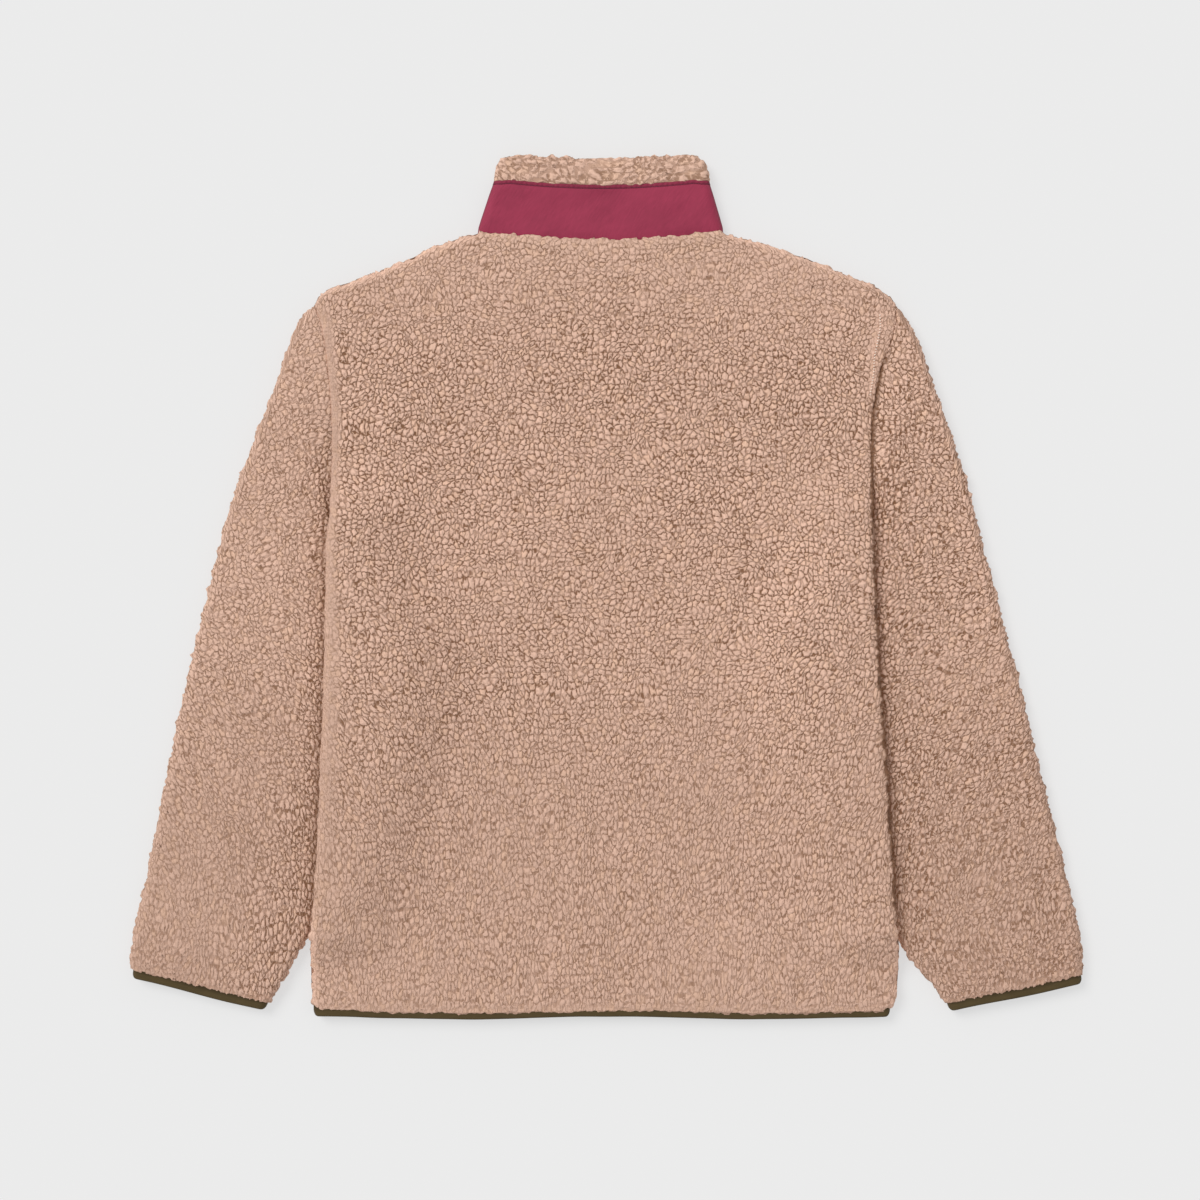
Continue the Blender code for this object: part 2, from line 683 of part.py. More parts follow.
def add_zip(tape, plastic, metal):
    """Tapes, chain, slider and pull tab."""
    collar_top = COLLAR_TOP_Y - COLLAR_LEAN - TAPE_TOP_INSET
    high = OUTER - TAPE_INNER
    for name, hand in (("zip_tape_left", -1), ("zip_tape_right", 1)):
        across = sorted(CENTRE_X + hand * out for out in (TAPE_NEAR, TAPE_FAR))
        add_box(name, (across[0], TAPE_BOTTOM_Y, high - TAPE_WALL), (across[1], collar_top, high),
                tape)
    add_box("zip_chain", (CENTRE_X - CHAIN_HALF, TAPE_BOTTOM_Y, CHAIN_LOW),
            (CENTRE_X + CHAIN_HALF, SLIDER_Y + WEDGE_START - SEAM, CHAIN_HIGH),
            plastic, CHAIN_CHAMFER)
    add_slider(metal)
    add_pull(metal)


def slider_box(name, x, y, z, metal):
    """A box of the slider from half widths, lengths from its middle, and heights."""
    return add_box(name, (CENTRE_X + x[0], SLIDER_Y + y[0], z[0]),
                   (CENTRE_X + x[1], SLIDER_Y + y[1], z[1]), metal)


def add_slider(metal):
    """Two plates joined by a wedge, with side flanges and the crown that holds the pull tab."""
    wide = (-SLIDER_HALF_WIDTH, SLIDER_HALF_WIDTH)
    long = (-SLIDER_HALF_LENGTH, SLIDER_HALF_LENGTH)
    sunk = 0.0003  # how far joined boxes reach into each other
    slider = slider_box("zip_slider", wide, long, PLATE_OUTSIDE, metal)
    parts = [
        slider_box("inside_plate", wide, long, PLATE_INSIDE, metal),
        slider_box("wedge", (-WEDGE_HALF, WEDGE_HALF), (WEDGE_START, SLIDER_HALF_LENGTH - 0.0006),
                   (PLATE_OUTSIDE[1] - sunk, PLATE_INSIDE[0] + sunk), metal),
        slider_box("crown", (-CROWN_HALF, CROWN_HALF), (-CROWN_REACH, CROWN_REACH),
                   (CROWN_LOW, PLATE_OUTSIDE[0] + sunk), metal),
    ]
    for hand in (-1, 1):
        across = sorted((hand * FLANGE_NEAR, hand * (SLIDER_HALF_WIDTH - 0.0001)))
        flange_long = (long[0] + 0.0004, long[1] - 0.0004)
        parts.append(slider_box("flange", across, flange_long,
                                (PLATE_OUTSIDE[1] - sunk, FLANGE_OUTSIDE_TOP), metal))
        parts.append(slider_box("flange", across, flange_long,
                                (FLANGE_INSIDE_LOW, PLATE_INSIDE[0] + sunk), metal))
    wedge = parts.pop(1)
    combine(slider, [wedge] + parts, "UNION")
    window = CROWN_REACH - CROWN_POST
    hole = slider_box("window", (-2 * CROWN_HALF, 2 * CROWN_HALF), (-window, window),
                      (CROWN_WINDOW_TOP, PLATE_OUTSIDE[0]), metal)
    combine(slider, [hole], "DIFFERENCE")


def add_pull(metal):
    """The pull tab: a plate with a rounded end, its eye round the crown and a slot to grip."""
    low, high = PIN_Z - PULL_THICKNESS / 2, PIN_Z + PULL_THICKNESS / 2
    bm = bmesh.new()
    outline = [(-PULL_HALF_WIDTH, PULL_BAR), (-PULL_HALF_WIDTH, -PULL_LENGTH)]
    for step in range(1, 8):
        angle = math.pi * (1 + step / 8)
        outline.append((PULL_HALF_WIDTH * math.cos(angle),
                        -PULL_LENGTH + PULL_HALF_WIDTH * math.sin(angle)))
    outline += [(PULL_HALF_WIDTH, -PULL_LENGTH), (PULL_HALF_WIDTH, PULL_BAR)]
    face = bm.faces.new([bm.verts.new((CENTRE_X + x, SLIDER_Y + y, low)) for x, y in outline])
    top = bmesh.ops.extrude_face_region(bm, geom=[face])
    bmesh.ops.translate(bm, vec=(0, 0, high - low),
                        verts=[item for item in top["geom"] if isinstance(item, bmesh.types.BMVert)])
    pull = add_object("zip_pull", bm, metal)
    beyond = 0.0005
    cuts = [
        slider_box("eye", (-PULL_EYE_HALF, PULL_EYE_HALF), (-PULL_EYE_END, -PULL_BAR),
                   (low - beyond, high + beyond), metal),
        slider_box("slot", (-GRIP_SLOT_HALF, GRIP_SLOT_HALF), (-GRIP_SLOT[1], -GRIP_SLOT[0]),
                   (low - beyond, high + beyond), metal),
    ]
    combine(pull, cuts, "DIFFERENCE")
    move_origin(pull, (CENTRE_X, SLIDER_Y, PIN_Z))


def move_origin(made, place):
    """Sets an object's origin on its joint's axis, with its shape left where it is."""
    made.data.transform(Matrix.Translation(-Vector(place)))
    made.location = place


# ---------------------------------------------------------------------------------------------

def main():
    """Builds the whole jacket."""
    for old in list(bpy.data.objects):
        bpy.data.objects.remove(old)
    pile = material("pile_cloth", PILE)
    band = material("band_cloth", BAND_CLOTH)
    binding = material("binding_cloth", BINDING_CLOTH)
    add_body(pile)
    add_sleeve("sleeve_left", "left", LEFT_SLEEVE, LEFT_CUFF, pile)
    add_sleeve("sleeve_right", "right", RIGHT_SLEEVE, RIGHT_CUFF, pile)
    add_collar(pile, band)
    add_hem_binding(binding)
    add_cuff_binding("cuff_binding_left", LEFT_CUFF, binding)
    add_cuff_binding("cuff_binding_right", RIGHT_CUFF, binding)
    add_zip(material("tape_cloth", TAPE_CLOTH), material("chain_plastic", CHAIN_PLASTIC),
            material("zip_metal", ZIP_METAL))


main()
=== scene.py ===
"""Sherpa jacket laid flat with its back up: pile cloth, collar band, bindings, zip and studio.

Lengths are metres. The origin is under the middle of the jacket, +Y points to the collar and +Z up.
Each cloth piece is a closed wall with the curls of its pile in its mesh, and its material draws the
cracks between the same curls from the "cloth" attribute, the place of each point on the flat cloth.
"""

import logging
import math
from dataclasses import dataclass, field
from enum import Enum
from functools import cached_property
from typing import Dict, List, Optional, Sequence, Tuple, Union

import bpy
import numpy as np
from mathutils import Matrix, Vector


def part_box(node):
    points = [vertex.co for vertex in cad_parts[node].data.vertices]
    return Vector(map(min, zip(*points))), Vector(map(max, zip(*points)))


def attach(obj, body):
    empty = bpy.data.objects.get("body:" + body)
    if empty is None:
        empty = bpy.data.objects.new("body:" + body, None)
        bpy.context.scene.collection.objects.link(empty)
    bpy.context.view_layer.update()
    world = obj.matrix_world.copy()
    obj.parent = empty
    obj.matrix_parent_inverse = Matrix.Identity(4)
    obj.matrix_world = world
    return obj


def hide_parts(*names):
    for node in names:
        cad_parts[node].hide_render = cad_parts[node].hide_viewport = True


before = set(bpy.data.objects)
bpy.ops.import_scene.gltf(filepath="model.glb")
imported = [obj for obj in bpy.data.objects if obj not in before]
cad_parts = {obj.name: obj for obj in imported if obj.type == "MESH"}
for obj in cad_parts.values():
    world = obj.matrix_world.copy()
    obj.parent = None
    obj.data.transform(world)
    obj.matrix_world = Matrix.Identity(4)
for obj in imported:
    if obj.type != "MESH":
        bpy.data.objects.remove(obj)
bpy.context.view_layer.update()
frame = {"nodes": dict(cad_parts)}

ROOT = "jacket"

Numbers = np.ndarray
Pair = Tuple[float, float]
Pairs = Tuple[Pair, ...]
Rows = Tuple[Tuple[float, ...], ...]
Ends = Tuple[float, float, float, float]
Nets = Dict[str, Numbers]
Colour = Tuple[float, float, float]
Shape = Tuple[Numbers, List[List[int]]]
Object = bpy.types.Object
Material = bpy.types.Material
Socket = bpy.types.NodeSocket

CLOSE_STEP = 0.0009
LOG = logging.getLogger("jacket")


# ---- Numbers ----

def blend(start: Numbers, end: Numbers, share: Numbers) -> Numbers:
    """The values that lie at share between start and end."""
    return start + (end - start) * share


def ease(value: Numbers, start: float, end: float) -> Numbers:
    """0 at start, 1 at end, and an S between them."""
    share = np.clip((value - start) / (end - start), 0.0, 1.0)
    return share * share * (3 - 2 * share)


def fade(value: Numbers, start: float, end: float) -> Numbers:
    """1 at start, 0 at end, and an S between them."""
    return 1 - ease(value, start, end)


def between(value: Numbers, ends: Ends) -> Numbers:
    """1 between the two middle ends, 0 beyond the outer two, and an S on either side."""
    return ease(value, *ends[:2]) * fade(value, *ends[2:])


def rounded(inset: Numbers, start: float, reach: float) -> Numbers:
    """Share of a wall at a distance from an edge that is rounded over its reach."""
    share = np.clip(inset / reach, 0.0, 1.0)
    return start + (1 - start) * np.sqrt(1 - (1 - share) ** 2)


def spread(start: float, end: float, step: float) -> List[float]:
    """Evenly spaced values from start to end, both included, about a step apart."""
    return list(np.linspace(start, end, max(2, round(abs(end - start) / step) + 1)))


def graded(start: float, full: float, end: float, step: float) -> List[float]:
    """Values a step apart as far as full and then close ones to the end, as near a binding."""
    return spread(start, full, step)[:-1] + spread(full, end, CLOSE_STEP)


def arc_insets(reach: float, steps: int) -> List[float]:
    """Distances from a rounded edge that lie evenly along its quarter turn, without the last."""
    return [reach * (1 - math.cos(math.pi / 2 * step / steps)) for step in range(steps)]


@dataclass(frozen=True)
class Table:
    """A smooth reading of pairs of a key and its value that never runs past its neighbours."""

    rows: Pairs

    def __call__(self, place: Numbers) -> Numbers:
        """Reads the table.

        Args:
            place: the keys to read at.

        Returns:
            The value for each key.
        """
        keys, values = np.array(sorted(self.rows)).T
        gaps = np.diff(keys)
        rises = np.diff(values) / gaps
        slopes = np.zeros_like(values)
        same = rises[:-1] * rises[1:] > 0
        total = rises[:-1] + rises[1:]
        slopes[1:-1][same] = (2 * rises[:-1] * rises[1:])[same] / total[same]
        slopes[0], slopes[-1] = rises[0], rises[-1]
        place = np.clip(place, keys[0], keys[-1])
        index = np.clip(np.searchsorted(keys, place) - 1, 0, len(keys) - 2)
        gap = gaps[index]
        part = (place - keys[index]) / gap
        leave = part * (1 - part) ** 2 * gap * slopes[index]
        arrive = part * part * (part - 1) * gap * slopes[index + 1]
        return blend(values[index], values[index + 1], ease(part, 0, 1)) + leave + arrive


def column_of(rows: Sequence[Sequence[float]], column: int) -> Table:
    """Reads one column of a list of rows by their first."""
    return Table(tuple((row[0], row[column]) for row in rows))


@dataclass(frozen=True)
class Ripple:
    """Smooth random waves over a plane, between -1 and 1, their crests about a length apart."""

    length: float
    seed: int
    SIDE = 64

    def __call__(self, across: Numbers, along: Numbers) -> Numbers:
        """Reads the waves.

        Args:
            across: first coordinate.
            along: second coordinate.

        Returns:
            A value for each pair.
        """
        heights = np.random.default_rng(self.seed).uniform(-1, 1, (self.SIDE, self.SIDE))
        places, shares = [], []
        for value in (across / self.length, along / self.length):
            whole = np.floor(value).astype(int)
            places.append((whole % self.SIDE, (whole + 1) % self.SIDE))
            shares.append(ease(value - whole, 0.0, 1.0))
        (left, right), (low, high) = places
        below = blend(heights[low, left], heights[low, right], shares[0])
        above = blend(heights[high, left], heights[high, right], shares[0])
        return blend(below, above, shares[1])


# ---- Materials ----

class Shade:
    """An output socket of a node tree, on which sums add their Math nodes."""

    def __init__(self, graph: "Graph", socket: Socket) -> None:
        """Keeps the tree and its socket."""
        self.graph = graph
        self.socket = socket

    def __add__(self, other: "Value") -> "Shade":
        """The sum."""
        return self.graph.sum("ADD", self, other)

    def __radd__(self, other: "Value") -> "Shade":
        """The sum, with the number first."""
        return self.graph.sum("ADD", other, self)

    def __sub__(self, other: "Value") -> "Shade":
        """The difference."""
        return self.graph.sum("SUBTRACT", self, other)

    def __rsub__(self, other: "Value") -> "Shade":
        """The difference from a number."""
        return self.graph.sum("SUBTRACT", other, self)

    def __mul__(self, other: "Value") -> "Shade":
        """The product."""
        return self.graph.sum("MULTIPLY", self, other)

    def __rmul__(self, other: "Value") -> "Shade":
        """The product, with the number first."""
        return self.graph.sum("MULTIPLY", other, self)


Value = Union[Shade, float, Tuple[float, ...]]


class Graph:
    """A node tree that is built node by node."""

    def __init__(self, tree: bpy.types.NodeTree) -> None:
        """Keeps the tree."""
        self.tree = tree

    def put(self, socket: Socket, value: Value) -> None:
        """Links a shade to a socket, or sets the socket's own value."""
        if isinstance(value, Shade):
            self.tree.links.new(value.socket, socket)
        else:
            socket.default_value = value

    def node(self, kind: str, settings: Dict[str, object],
             sockets: Dict[Union[int, str], Value], output: Union[int, str] = 0) -> Shade:
        """Adds any node.

        Args:
            kind: the node's type; ShaderNode is put before a short one.
            settings: its properties, set before its sockets.
            sockets: values or links of its inputs.
            output: the output to return.

        Returns:
            That output.
        """
        made = self.tree.nodes.new(kind if "Node" in kind else "ShaderNode" + kind)
        for name, setting in settings.items():
            setattr(made, name, setting)
        for name, value in sockets.items():
            self.put(made.inputs[name], value)
        return Shade(self, made.outputs[output])

    def sum(self, operation: str, first: Value, second: Value) -> Shade:
        """A Math node on two values."""
        return self.node("Math", {"operation": operation}, {0: first, 1: second})


class Dye(Graph):
    """One Principled material."""

    def __init__(self, name: str) -> None:
        """Starts an empty material.

        Args:
            name: its name.
        """
        self.material = bpy.data.materials.new(name)
        self.material.use_nodes = True
        super().__init__(self.material.node_tree)
        self.shader = self.tree.nodes["Principled BSDF"]

    def range(self, value: Value, start: float, end: float) -> Shade:
        """0 at start, 1 at end, and an S between them."""
        return self.node("MapRange", {"interpolation_type": "SMOOTHSTEP"},
                         {"Value": value, "From Min": start, "From Max": end})

    def mix(self, share: Value, first: Value, second: Value) -> Shade:
        """A mix of two colours, each given as a colour or a link."""
        first, second = [(*item, 1.0) if isinstance(item, tuple) else item
                         for item in (first, second)]
        return self.node("Mix", {"data_type": "RGBA", "clamp_factor": True},
                         {0: share, 6: first, 7: second}, 2)

    def scale(self, colour: Value, value: Value) -> Shade:
        """A colour made lighter or darker by a factor."""
        return self.node("VectorMath", {"operation": "SCALE"}, {0: colour, "Scale": value})

    def place(self, stretch: Tuple[float, float, float] = (1.0, 1.0, 1.0),
              turn: float = 0.0) -> Shade:
        """Object coordinates, stretched along the axes and turned about Z."""
        own = self.node("TexCoord", {}, {}, "Object")
        return self.stretched(own, stretch, turn)

    def stretched(self, place: Shade, stretch: Tuple[float, float, float],
                  turn: float = 0.0) -> Shade:
        """Coordinates stretched along the axes and turned about Z."""
        return self.node("Mapping", {}, {"Vector": place, "Scale": stretch,
                                         "Rotation": (0.0, 0.0, turn)})

    def attribute(self, name: str, output: str) -> Shade:
        """An attribute of the mesh, read as Fac, Vector or Color."""
        return self.node("Attribute", {"attribute_name": name}, {}, output)

    def noise(self, place: Shade, size: float, detail: float = 2.0) -> Shade:
        """Soft noise between 0 and 1, with waves of a size."""
        return self.node("TexNoise", {}, {"Vector": place, "Scale": 1 / size, "Detail": detail})

    def bump(self, height: Shade, strength: float, distance: float) -> Shade:
        """A Bump node's normal."""
        return self.node("Bump", {}, {"Strength": strength, "Distance": distance,
                                      "Height": height})

    def finish(self, **sockets: Value) -> Material:
        """Sets the shader's own sockets.

        Args:
            sockets: values or links, a space in a socket's name written as _.

        Returns:
            The material.
        """
        for name, value in sockets.items():
            socket = self.shader.inputs[name.replace("_", " ")]
            if isinstance(value, tuple) and len(value) == 3 and socket.type == "RGBA":
                value = (*value, 1.0)
            self.put(socket, value)
        return self.material


@dataclass(frozen=True)
class Curls:
    """The pile's curls, laid out alike for the meshes and for the material.

    The cracks between neighbouring curls, a pitch apart, wander by the wiggle.
    """

    pitch: float = 0.005
    irregular: float = 0.9
    wiggle: float = 0.0027
    wiggle_length: float = 0.0031

    def lay(self, graph: Graph, cloth: Shade) -> Tuple[Shade, Shade]:
        """Adds the nodes that draw the curls.

        Args:
            graph: the node tree.
            cloth: places on the flat cloth.

        Returns:
            Distance from the nearest crack, in pitches, and a random tint of each curl.
        """
        waves = graph.node("TexNoise", {"noise_dimensions": "2D"},
                           {"Vector": cloth, "Scale": 1 / self.wiggle_length, "Detail": 1.0},
                           "Color")
        moved = graph.node("VectorMath", {"operation": "MULTIPLY_ADD"},
                           {0: waves, 1: (self.wiggle,) * 3, 2: cloth})
        sockets = {"Vector": moved, "Scale": 1 / self.pitch, "Randomness": self.irregular}
        flat = {"voronoi_dimensions": "2D"}
        edge = graph.node("TexVoronoi", {**flat, "feature": "DISTANCE_TO_EDGE"}, sockets,
                          "Distance")
        tint = graph.node("TexVoronoi", {**flat, "feature": "F1"}, sockets, "Color")
        return edge, tint


CURLS = Curls()


@dataclass(frozen=True)
class PileFinish:
    """Curly sherpa pile, whose cracks get painted shade as far as crack, in pitches, from their
    middles.
    """

    light: Colour = (0.738, 0.5, 0.392)
    # Painted shade: the pile's colour in its cracks and creases.
    deep: Colour = (0.165, 0.086, 0.048)
    warm: Colour = (0.775, 0.5, 0.335)
    crack: float = 0.15
    lobe: float = 0.0021

    @cached_property
    def material(self) -> Material:
        """Makes the material.

        Returns:
            Pile with painted shade in cracks and folds, painted lighter tufts, soft patches,
            painted glow.
        """
        dye = Dye("pile_cloth")
        cloth = dye.attribute("cloth", "Vector")
        crisp = dye.attribute("crisp", "Fac")
        mark = dye.attribute("mark", "Fac")
        own = dye.place()
        edge, tint = CURLS.lay(dye, cloth)
        tone = dye.node("SeparateColor", {}, {"Color": tint}, 0)
        warmth = dye.node("SeparateColor", {}, {"Color": tint}, 1)
        lobes = dye.noise(cloth, self.lobe, 1.5)
        fibres = dye.noise(own, 0.0008, 2.0)
        fade = dye.range(dye.noise(cloth, 0.009, 1.0), 0.34, 0.6)
        ragged = edge + (lobes - 0.5) * 0.18
        # Painted shade: the cracks between curls and the valleys between tufts turn towards the
        # deep colour.
        crack = (1 - dye.range(ragged, 0.0, self.crack)) * (0.52 + 0.48 * fade) * crisp
        valley_shade = (1 - dye.range(lobes, 0.3, 0.52)) * 0.26
        # Painted shade: where the mark is high, in creases beside the body, the colour turns to the
        # deep colour.
        crease_shade = dye.range(mark, 0.35, 1.3) * 0.9
        painted_shade_share = crack + valley_shade * (1 - crack)
        painted_shade_share = painted_shade_share + crease_shade * (1 - painted_shade_share)
        patches = dye.noise(own, 0.12, 2.0)
        top = dye.mix(dye.range(warmth, 0.6, 1.0) * 0.35, self.light, self.warm)
        streaks = dye.noise(dye.stretched(own, (0.12, 1.0, 0.12)), 0.0016, 1.0) - 0.5
        # Lobes paint tufts lighter and the valleys between them with shade; a mark above 0 darkens,
        # partly painted shade, below 0 it paints rims lighter; softer curls come out darker.
        shade = (0.93 + 0.08 * tone + 0.2 * (lobes - 0.5) + 0.16 * (fibres - 0.5)
                 + 0.14 * (patches - 0.5))
        shade = shade * (1 - 0.5 * mark) * (0.76 + 0.24 * crisp)
        shade = shade + streaks * dye.range(crisp, 0.5, 0.1) * 0.5
        colour = dye.mix(painted_shade_share, dye.scale(top, shade), self.deep)
        height = dye.range(ragged, -0.02, 0.26) * crisp * 0.8 + lobes * 0.75 + fibres * 0.12
        return dye.finish(
            Base_Color=colour, Roughness=0.94, Sheen_Weight=0.17, Sheen_Roughness=0.6,
            # Emission: a faint warm glow painted in for light bounced into the pile's creases and
            # cracks.
            Emission_Color=(0.8, 0.33, 0.16), Emission_Strength=0.075,
            Sheen_Tint=(0.98, 0.74, 0.58), Specular_IOR_Level=0.15,
            Normal=dye.bump(height, 0.9, 0.0012))


@dataclass(frozen=True)
class WovenFinish:
    """Plain woven cloth, a yarn's pitch apart, that reads Object coordinates where own is set."""

    name: str
    colour: Colour
    shadow: Colour
    yarn: float
    rough: float
    own: bool = False

    @cached_property
    def material(self) -> Material:
        """Makes the material.

        Returns:
            Woven cloth that takes painted shade in its shadow colour where its mark attribute says
            so.
        """
        dye = Dye(self.name)
        cloth = dye.place() if self.own else dye.attribute("cloth", "Vector")
        rows = [dye.node("TexWave", {"bands_direction": way},
                         {"Vector": cloth, "Scale": math.pi / 10 / self.yarn, "Distortion": 0.6,
                          "Detail": 1.0}, "Fac") for way in ("X", "Y")]
        weave = rows[0] * rows[1]
        slubs = dye.noise(dye.stretched(cloth, (1.0, 0.2, 1.0)), 0.0016, 3.0)
        patches = dye.noise(cloth, 0.03, 3.0)
        shade = 0.94 + 0.42 * (slubs - 0.5) + 0.42 * (patches - 0.5) + 0.1 * weave
        colour = dye.scale(dye.mix(0.22 - 0.22 * weave, self.colour, self.shadow), shade)
        if not self.own:
            # Painted shade: the mark mixes in the shadow colour.
            colour = dye.mix(dye.attribute("mark", "Fac"), colour, self.shadow)
        return dye.finish(Base_Color=colour, Roughness=self.rough, Sheen_Weight=0.05,
                          Specular_IOR_Level=0.15,
                          Normal=dye.bump(weave + slubs * 0.6, 0.3, 0.0002))


@dataclass(frozen=True)
class ThreadFinish:
    """Sewing thread with a fine twist."""

    name: str
    colour: Colour

    @cached_property
    def material(self) -> Material:
        """Makes the material.

        Returns:
            Twisted thread.
        """
        dye = Dye(self.name)
        twist = dye.noise(dye.place(turn=math.radians(35)), 0.0005, 1.0)
        shadow = tuple(0.7 * value for value in self.colour)
        base = dye.scale(dye.mix(twist, shadow, self.colour), 1.1)
        return dye.finish(Base_Color=base, Roughness=0.6, Normal=dye.bump(twist, 0.4, 0.0002))


@dataclass(frozen=True)
class PlasticFinish:
    """Moulded zip teeth, slightly rubbed on their tops."""

    colour: Colour = (0.05, 0.032, 0.012)
    rubbed: Colour = (0.11, 0.08, 0.04)

    @cached_property
    def material(self) -> Material:
        """Makes the material.

        Returns:
            Satin plastic with a fine grain.
        """
        dye = Dye("chain_plastic")
        grain = dye.noise(dye.place(), 0.0014, 3.0)
        worn = dye.range(dye.noise(dye.place(), 0.011, 2.0), 0.5, 0.8)
        base = dye.mix(worn * 0.6, self.colour, self.rubbed)
        return dye.finish(Base_Color=base, Roughness=0.38 + grain * 0.18,
                          Normal=dye.bump(grain, 0.12, 0.0002))


@dataclass(frozen=True)
class MetalFinish:
    """Aged metal of the slider and pull tab, with fine scratches and dull hollows."""

    colour: Colour = (0.36, 0.28, 0.17)
    dull: Colour = (0.13, 0.1, 0.06)

    @cached_property
    def material(self) -> Material:
        """Makes the material.

        Returns:
            Stained and scratched metal.
        """
        dye = Dye("zip_metal")
        stain = dye.noise(dye.place(), 0.004, 4.0)
        scratch = dye.noise(dye.place((1.0, 0.08, 1.0)), 0.0004, 2.0)
        base = dye.mix(dye.range(stain, 0.42, 0.68) * 0.7, self.colour, self.dull)
        return dye.finish(Base_Color=base, Metallic=1.0,
                          Roughness=0.26 + 0.22 * stain + 0.12 * scratch,
                          Normal=dye.bump(scratch, 0.1, 0.0001))


PILE = PileFinish()
PLASTIC = PlasticFinish()
METAL = MetalFinish()
BAND = WovenFinish("band_cloth", (0.375, 0.043, 0.09), (0.15, 0.014, 0.036), 0.0005, 0.62)
BINDING = WovenFinish("binding_cloth", (0.1, 0.07, 0.029), (0.03, 0.019, 0.008), 0.0007, 0.8)
TAPE = WovenFinish("tape_cloth", (0.07, 0.046, 0.018), (0.022, 0.014, 0.005), 0.0009, 0.85, True)


# ---- The jacket's outline, as it lies ----

class Hand(Enum):
    """Left and right as the back is seen from above."""

    LEFT = -1
    RIGHT = 1


@dataclass(frozen=True)
class Cuff:
    """Corners of the lower edge of a cuff, and how far its binding reaches past them."""

    outer: Pair
    inner: Pair
    beyond: Pair

    def along(self) -> Numbers:
        """Direction from the outer end to the inner one."""
        return unit(np.subtract(self.inner, self.outer))

    def up(self) -> Numbers:
        """Direction up the sleeve."""
        along = self.along()
        return np.array([-along[1], along[0]]) * math.copysign(1, along[0])

    def line(self, height: float, out: float, into: float) -> Numbers:
        """Ends of a line over the lower edge, lengthened at its outer and inner end."""
        rise = self.up() * height
        return np.array([self.outer + rise - self.along() * out,
                         self.inner + rise + self.along() * into])


@dataclass(frozen=True)
class Outline:
    """Shared sizes of the jacket: walls, seams and edges seen from above."""

    seam: float = 0.0003
    inner: float = 0.00015
    outer: float = 0.00815
    centre_x: float = -0.0055
    front_edge: float = 0.0055
    placket_inner: float = 0.00315
    neck_half: float = 0.1145
    neck_y: float = 0.325
    back_drop: float = 0.008
    front_drop: float = 0.045
    hem_y: float = -0.3981
    hem_wave: float = 0.0013
    hem_wave_length: float = 0.279
    hem_wave_low: float = 0.144
    hem_ends: Pair = (-0.2673, 0.2592)
    inset: float = 0.0016
    lift: float = 0.0169
    fall: float = 0.078
    tuck_top: Pair = (0.06, 0.122)
    tuck_bottom: Pair = (-0.356, -0.316)
    binding_inner: float = 0.0005
    binding_outer: float = 0.0071
    pressed: float = 0.0057
    rest_gap: float = 0.001
    grip_gap: float = 0.0014
    grip: Pair = (0.0102, 0.0136)
    sides: Rows = (
        (0.26, -0.269, 0.2665), (0.241, -0.2625, 0.2655), (0.223, -0.259, 0.2605),
        (0.198, -0.256, 0.252), (0.147, -0.2525, 0.2445), (0.075, -0.253, 0.243),
        (0.037, -0.2565, 0.244), (-0.028, -0.2575, 0.2465), (-0.092, -0.259, 0.25),
        (-0.169, -0.262, 0.2555), (-0.24, -0.265, 0.26), (-0.296, -0.2685, 0.264),
        (-0.348, -0.271, 0.2675), (-0.384, -0.2705, 0.2655), (-0.392, -0.267, 0.259),
        (-0.397, -0.265, 0.2569),
    )
    tucks: Pairs = (
        (0.06, 0.018), (0.02, 0.024), (-0.008, 0.036), (-0.03, 0.053),
        (-0.06, 0.064), (-0.1, 0.065), (-0.165, 0.053), (-0.25, 0.033),
        (-0.316, 0.014),
    )
    shoulders: Rows = (
        (0.1145, 0.325, 0.325), (0.148, 0.3145, 0.3155), (0.18, 0.2995, 0.3045),
        (0.222, 0.2825, 0.2885), (0.257, 0.2705, 0.274), (0.264, 0.26, 0.269),
        (0.272, 0.26, 0.26),
    )

    @property
    def tip_y(self) -> float:
        """Height of the shoulder tips."""
        return self.sides[0][0]

    @property
    def side_length(self) -> float:
        """Length of the body's side from the shoulder tip to the cloth's end."""
        return self.tip_y - (self.hem_y + self.inset)

    def side_x(self, hand: Hand, y: Numbers) -> Numbers:
        """The body's side edge at a height."""
        return column_of(self.sides, 1 if hand is Hand.LEFT else 2)(y)

    def hem(self, x: Numbers) -> Numbers:
        """Lower edge of the hem binding, which waves a little."""
        turn = 2 * math.pi * (x - self.hem_wave_low) / self.hem_wave_length
        return self.hem_y - self.hem_wave * np.cos(turn)

    def neck(self, x: Numbers, drop: float) -> Numbers:
        """The neck seam, with its drop at the centre."""
        across = np.clip(np.abs(x - self.centre_x) / self.neck_half, 0.0, 1.0)
        return self.neck_y - drop * (1 - across ** 2)

    def top(self, x: Numbers, drop: float) -> Numbers:
        """Upper edge of a body panel: its neck seam and shoulder seams.

        Args:
            x: places across it.
            drop: depth of the neck.

        Returns:
            The edge's height at each place.
        """
        out = np.abs(x - self.centre_x)
        left, right = (column_of(self.shoulders, column)(out) for column in (1, 2))
        shoulder = np.where(x < self.centre_x, left, right)
        return np.where(out < self.neck_half, self.neck(x, drop), shoulder)

    def raised(self, x: Numbers, y: Numbers) -> Numbers:
        """How far the body is raised over the parts of the sleeves that lie under it.

        Args:
            x: places across the body.
            y: places along it.

        Returns:
            A height for each place.
        """
        inset = np.minimum(x - self.side_x(Hand.LEFT, y), self.side_x(Hand.RIGHT, y) - x)
        across = fade((inset - Table(self.tucks)(y)) / self.fall, 0, 1)
        return self.lift * across * fade(y, *self.tuck_top) * ease(y, *self.tuck_bottom)

    def gripped(self, inner: Numbers, up: Numbers) -> Numbers:
        """Distance of a wall's inner face, which stands off where a binding grips the pile."""
        return blend(inner, self.binding_inner + self.grip_gap, fade(up, *self.grip))


OUTLINE = Outline()


# ---- Cloth meshes ----

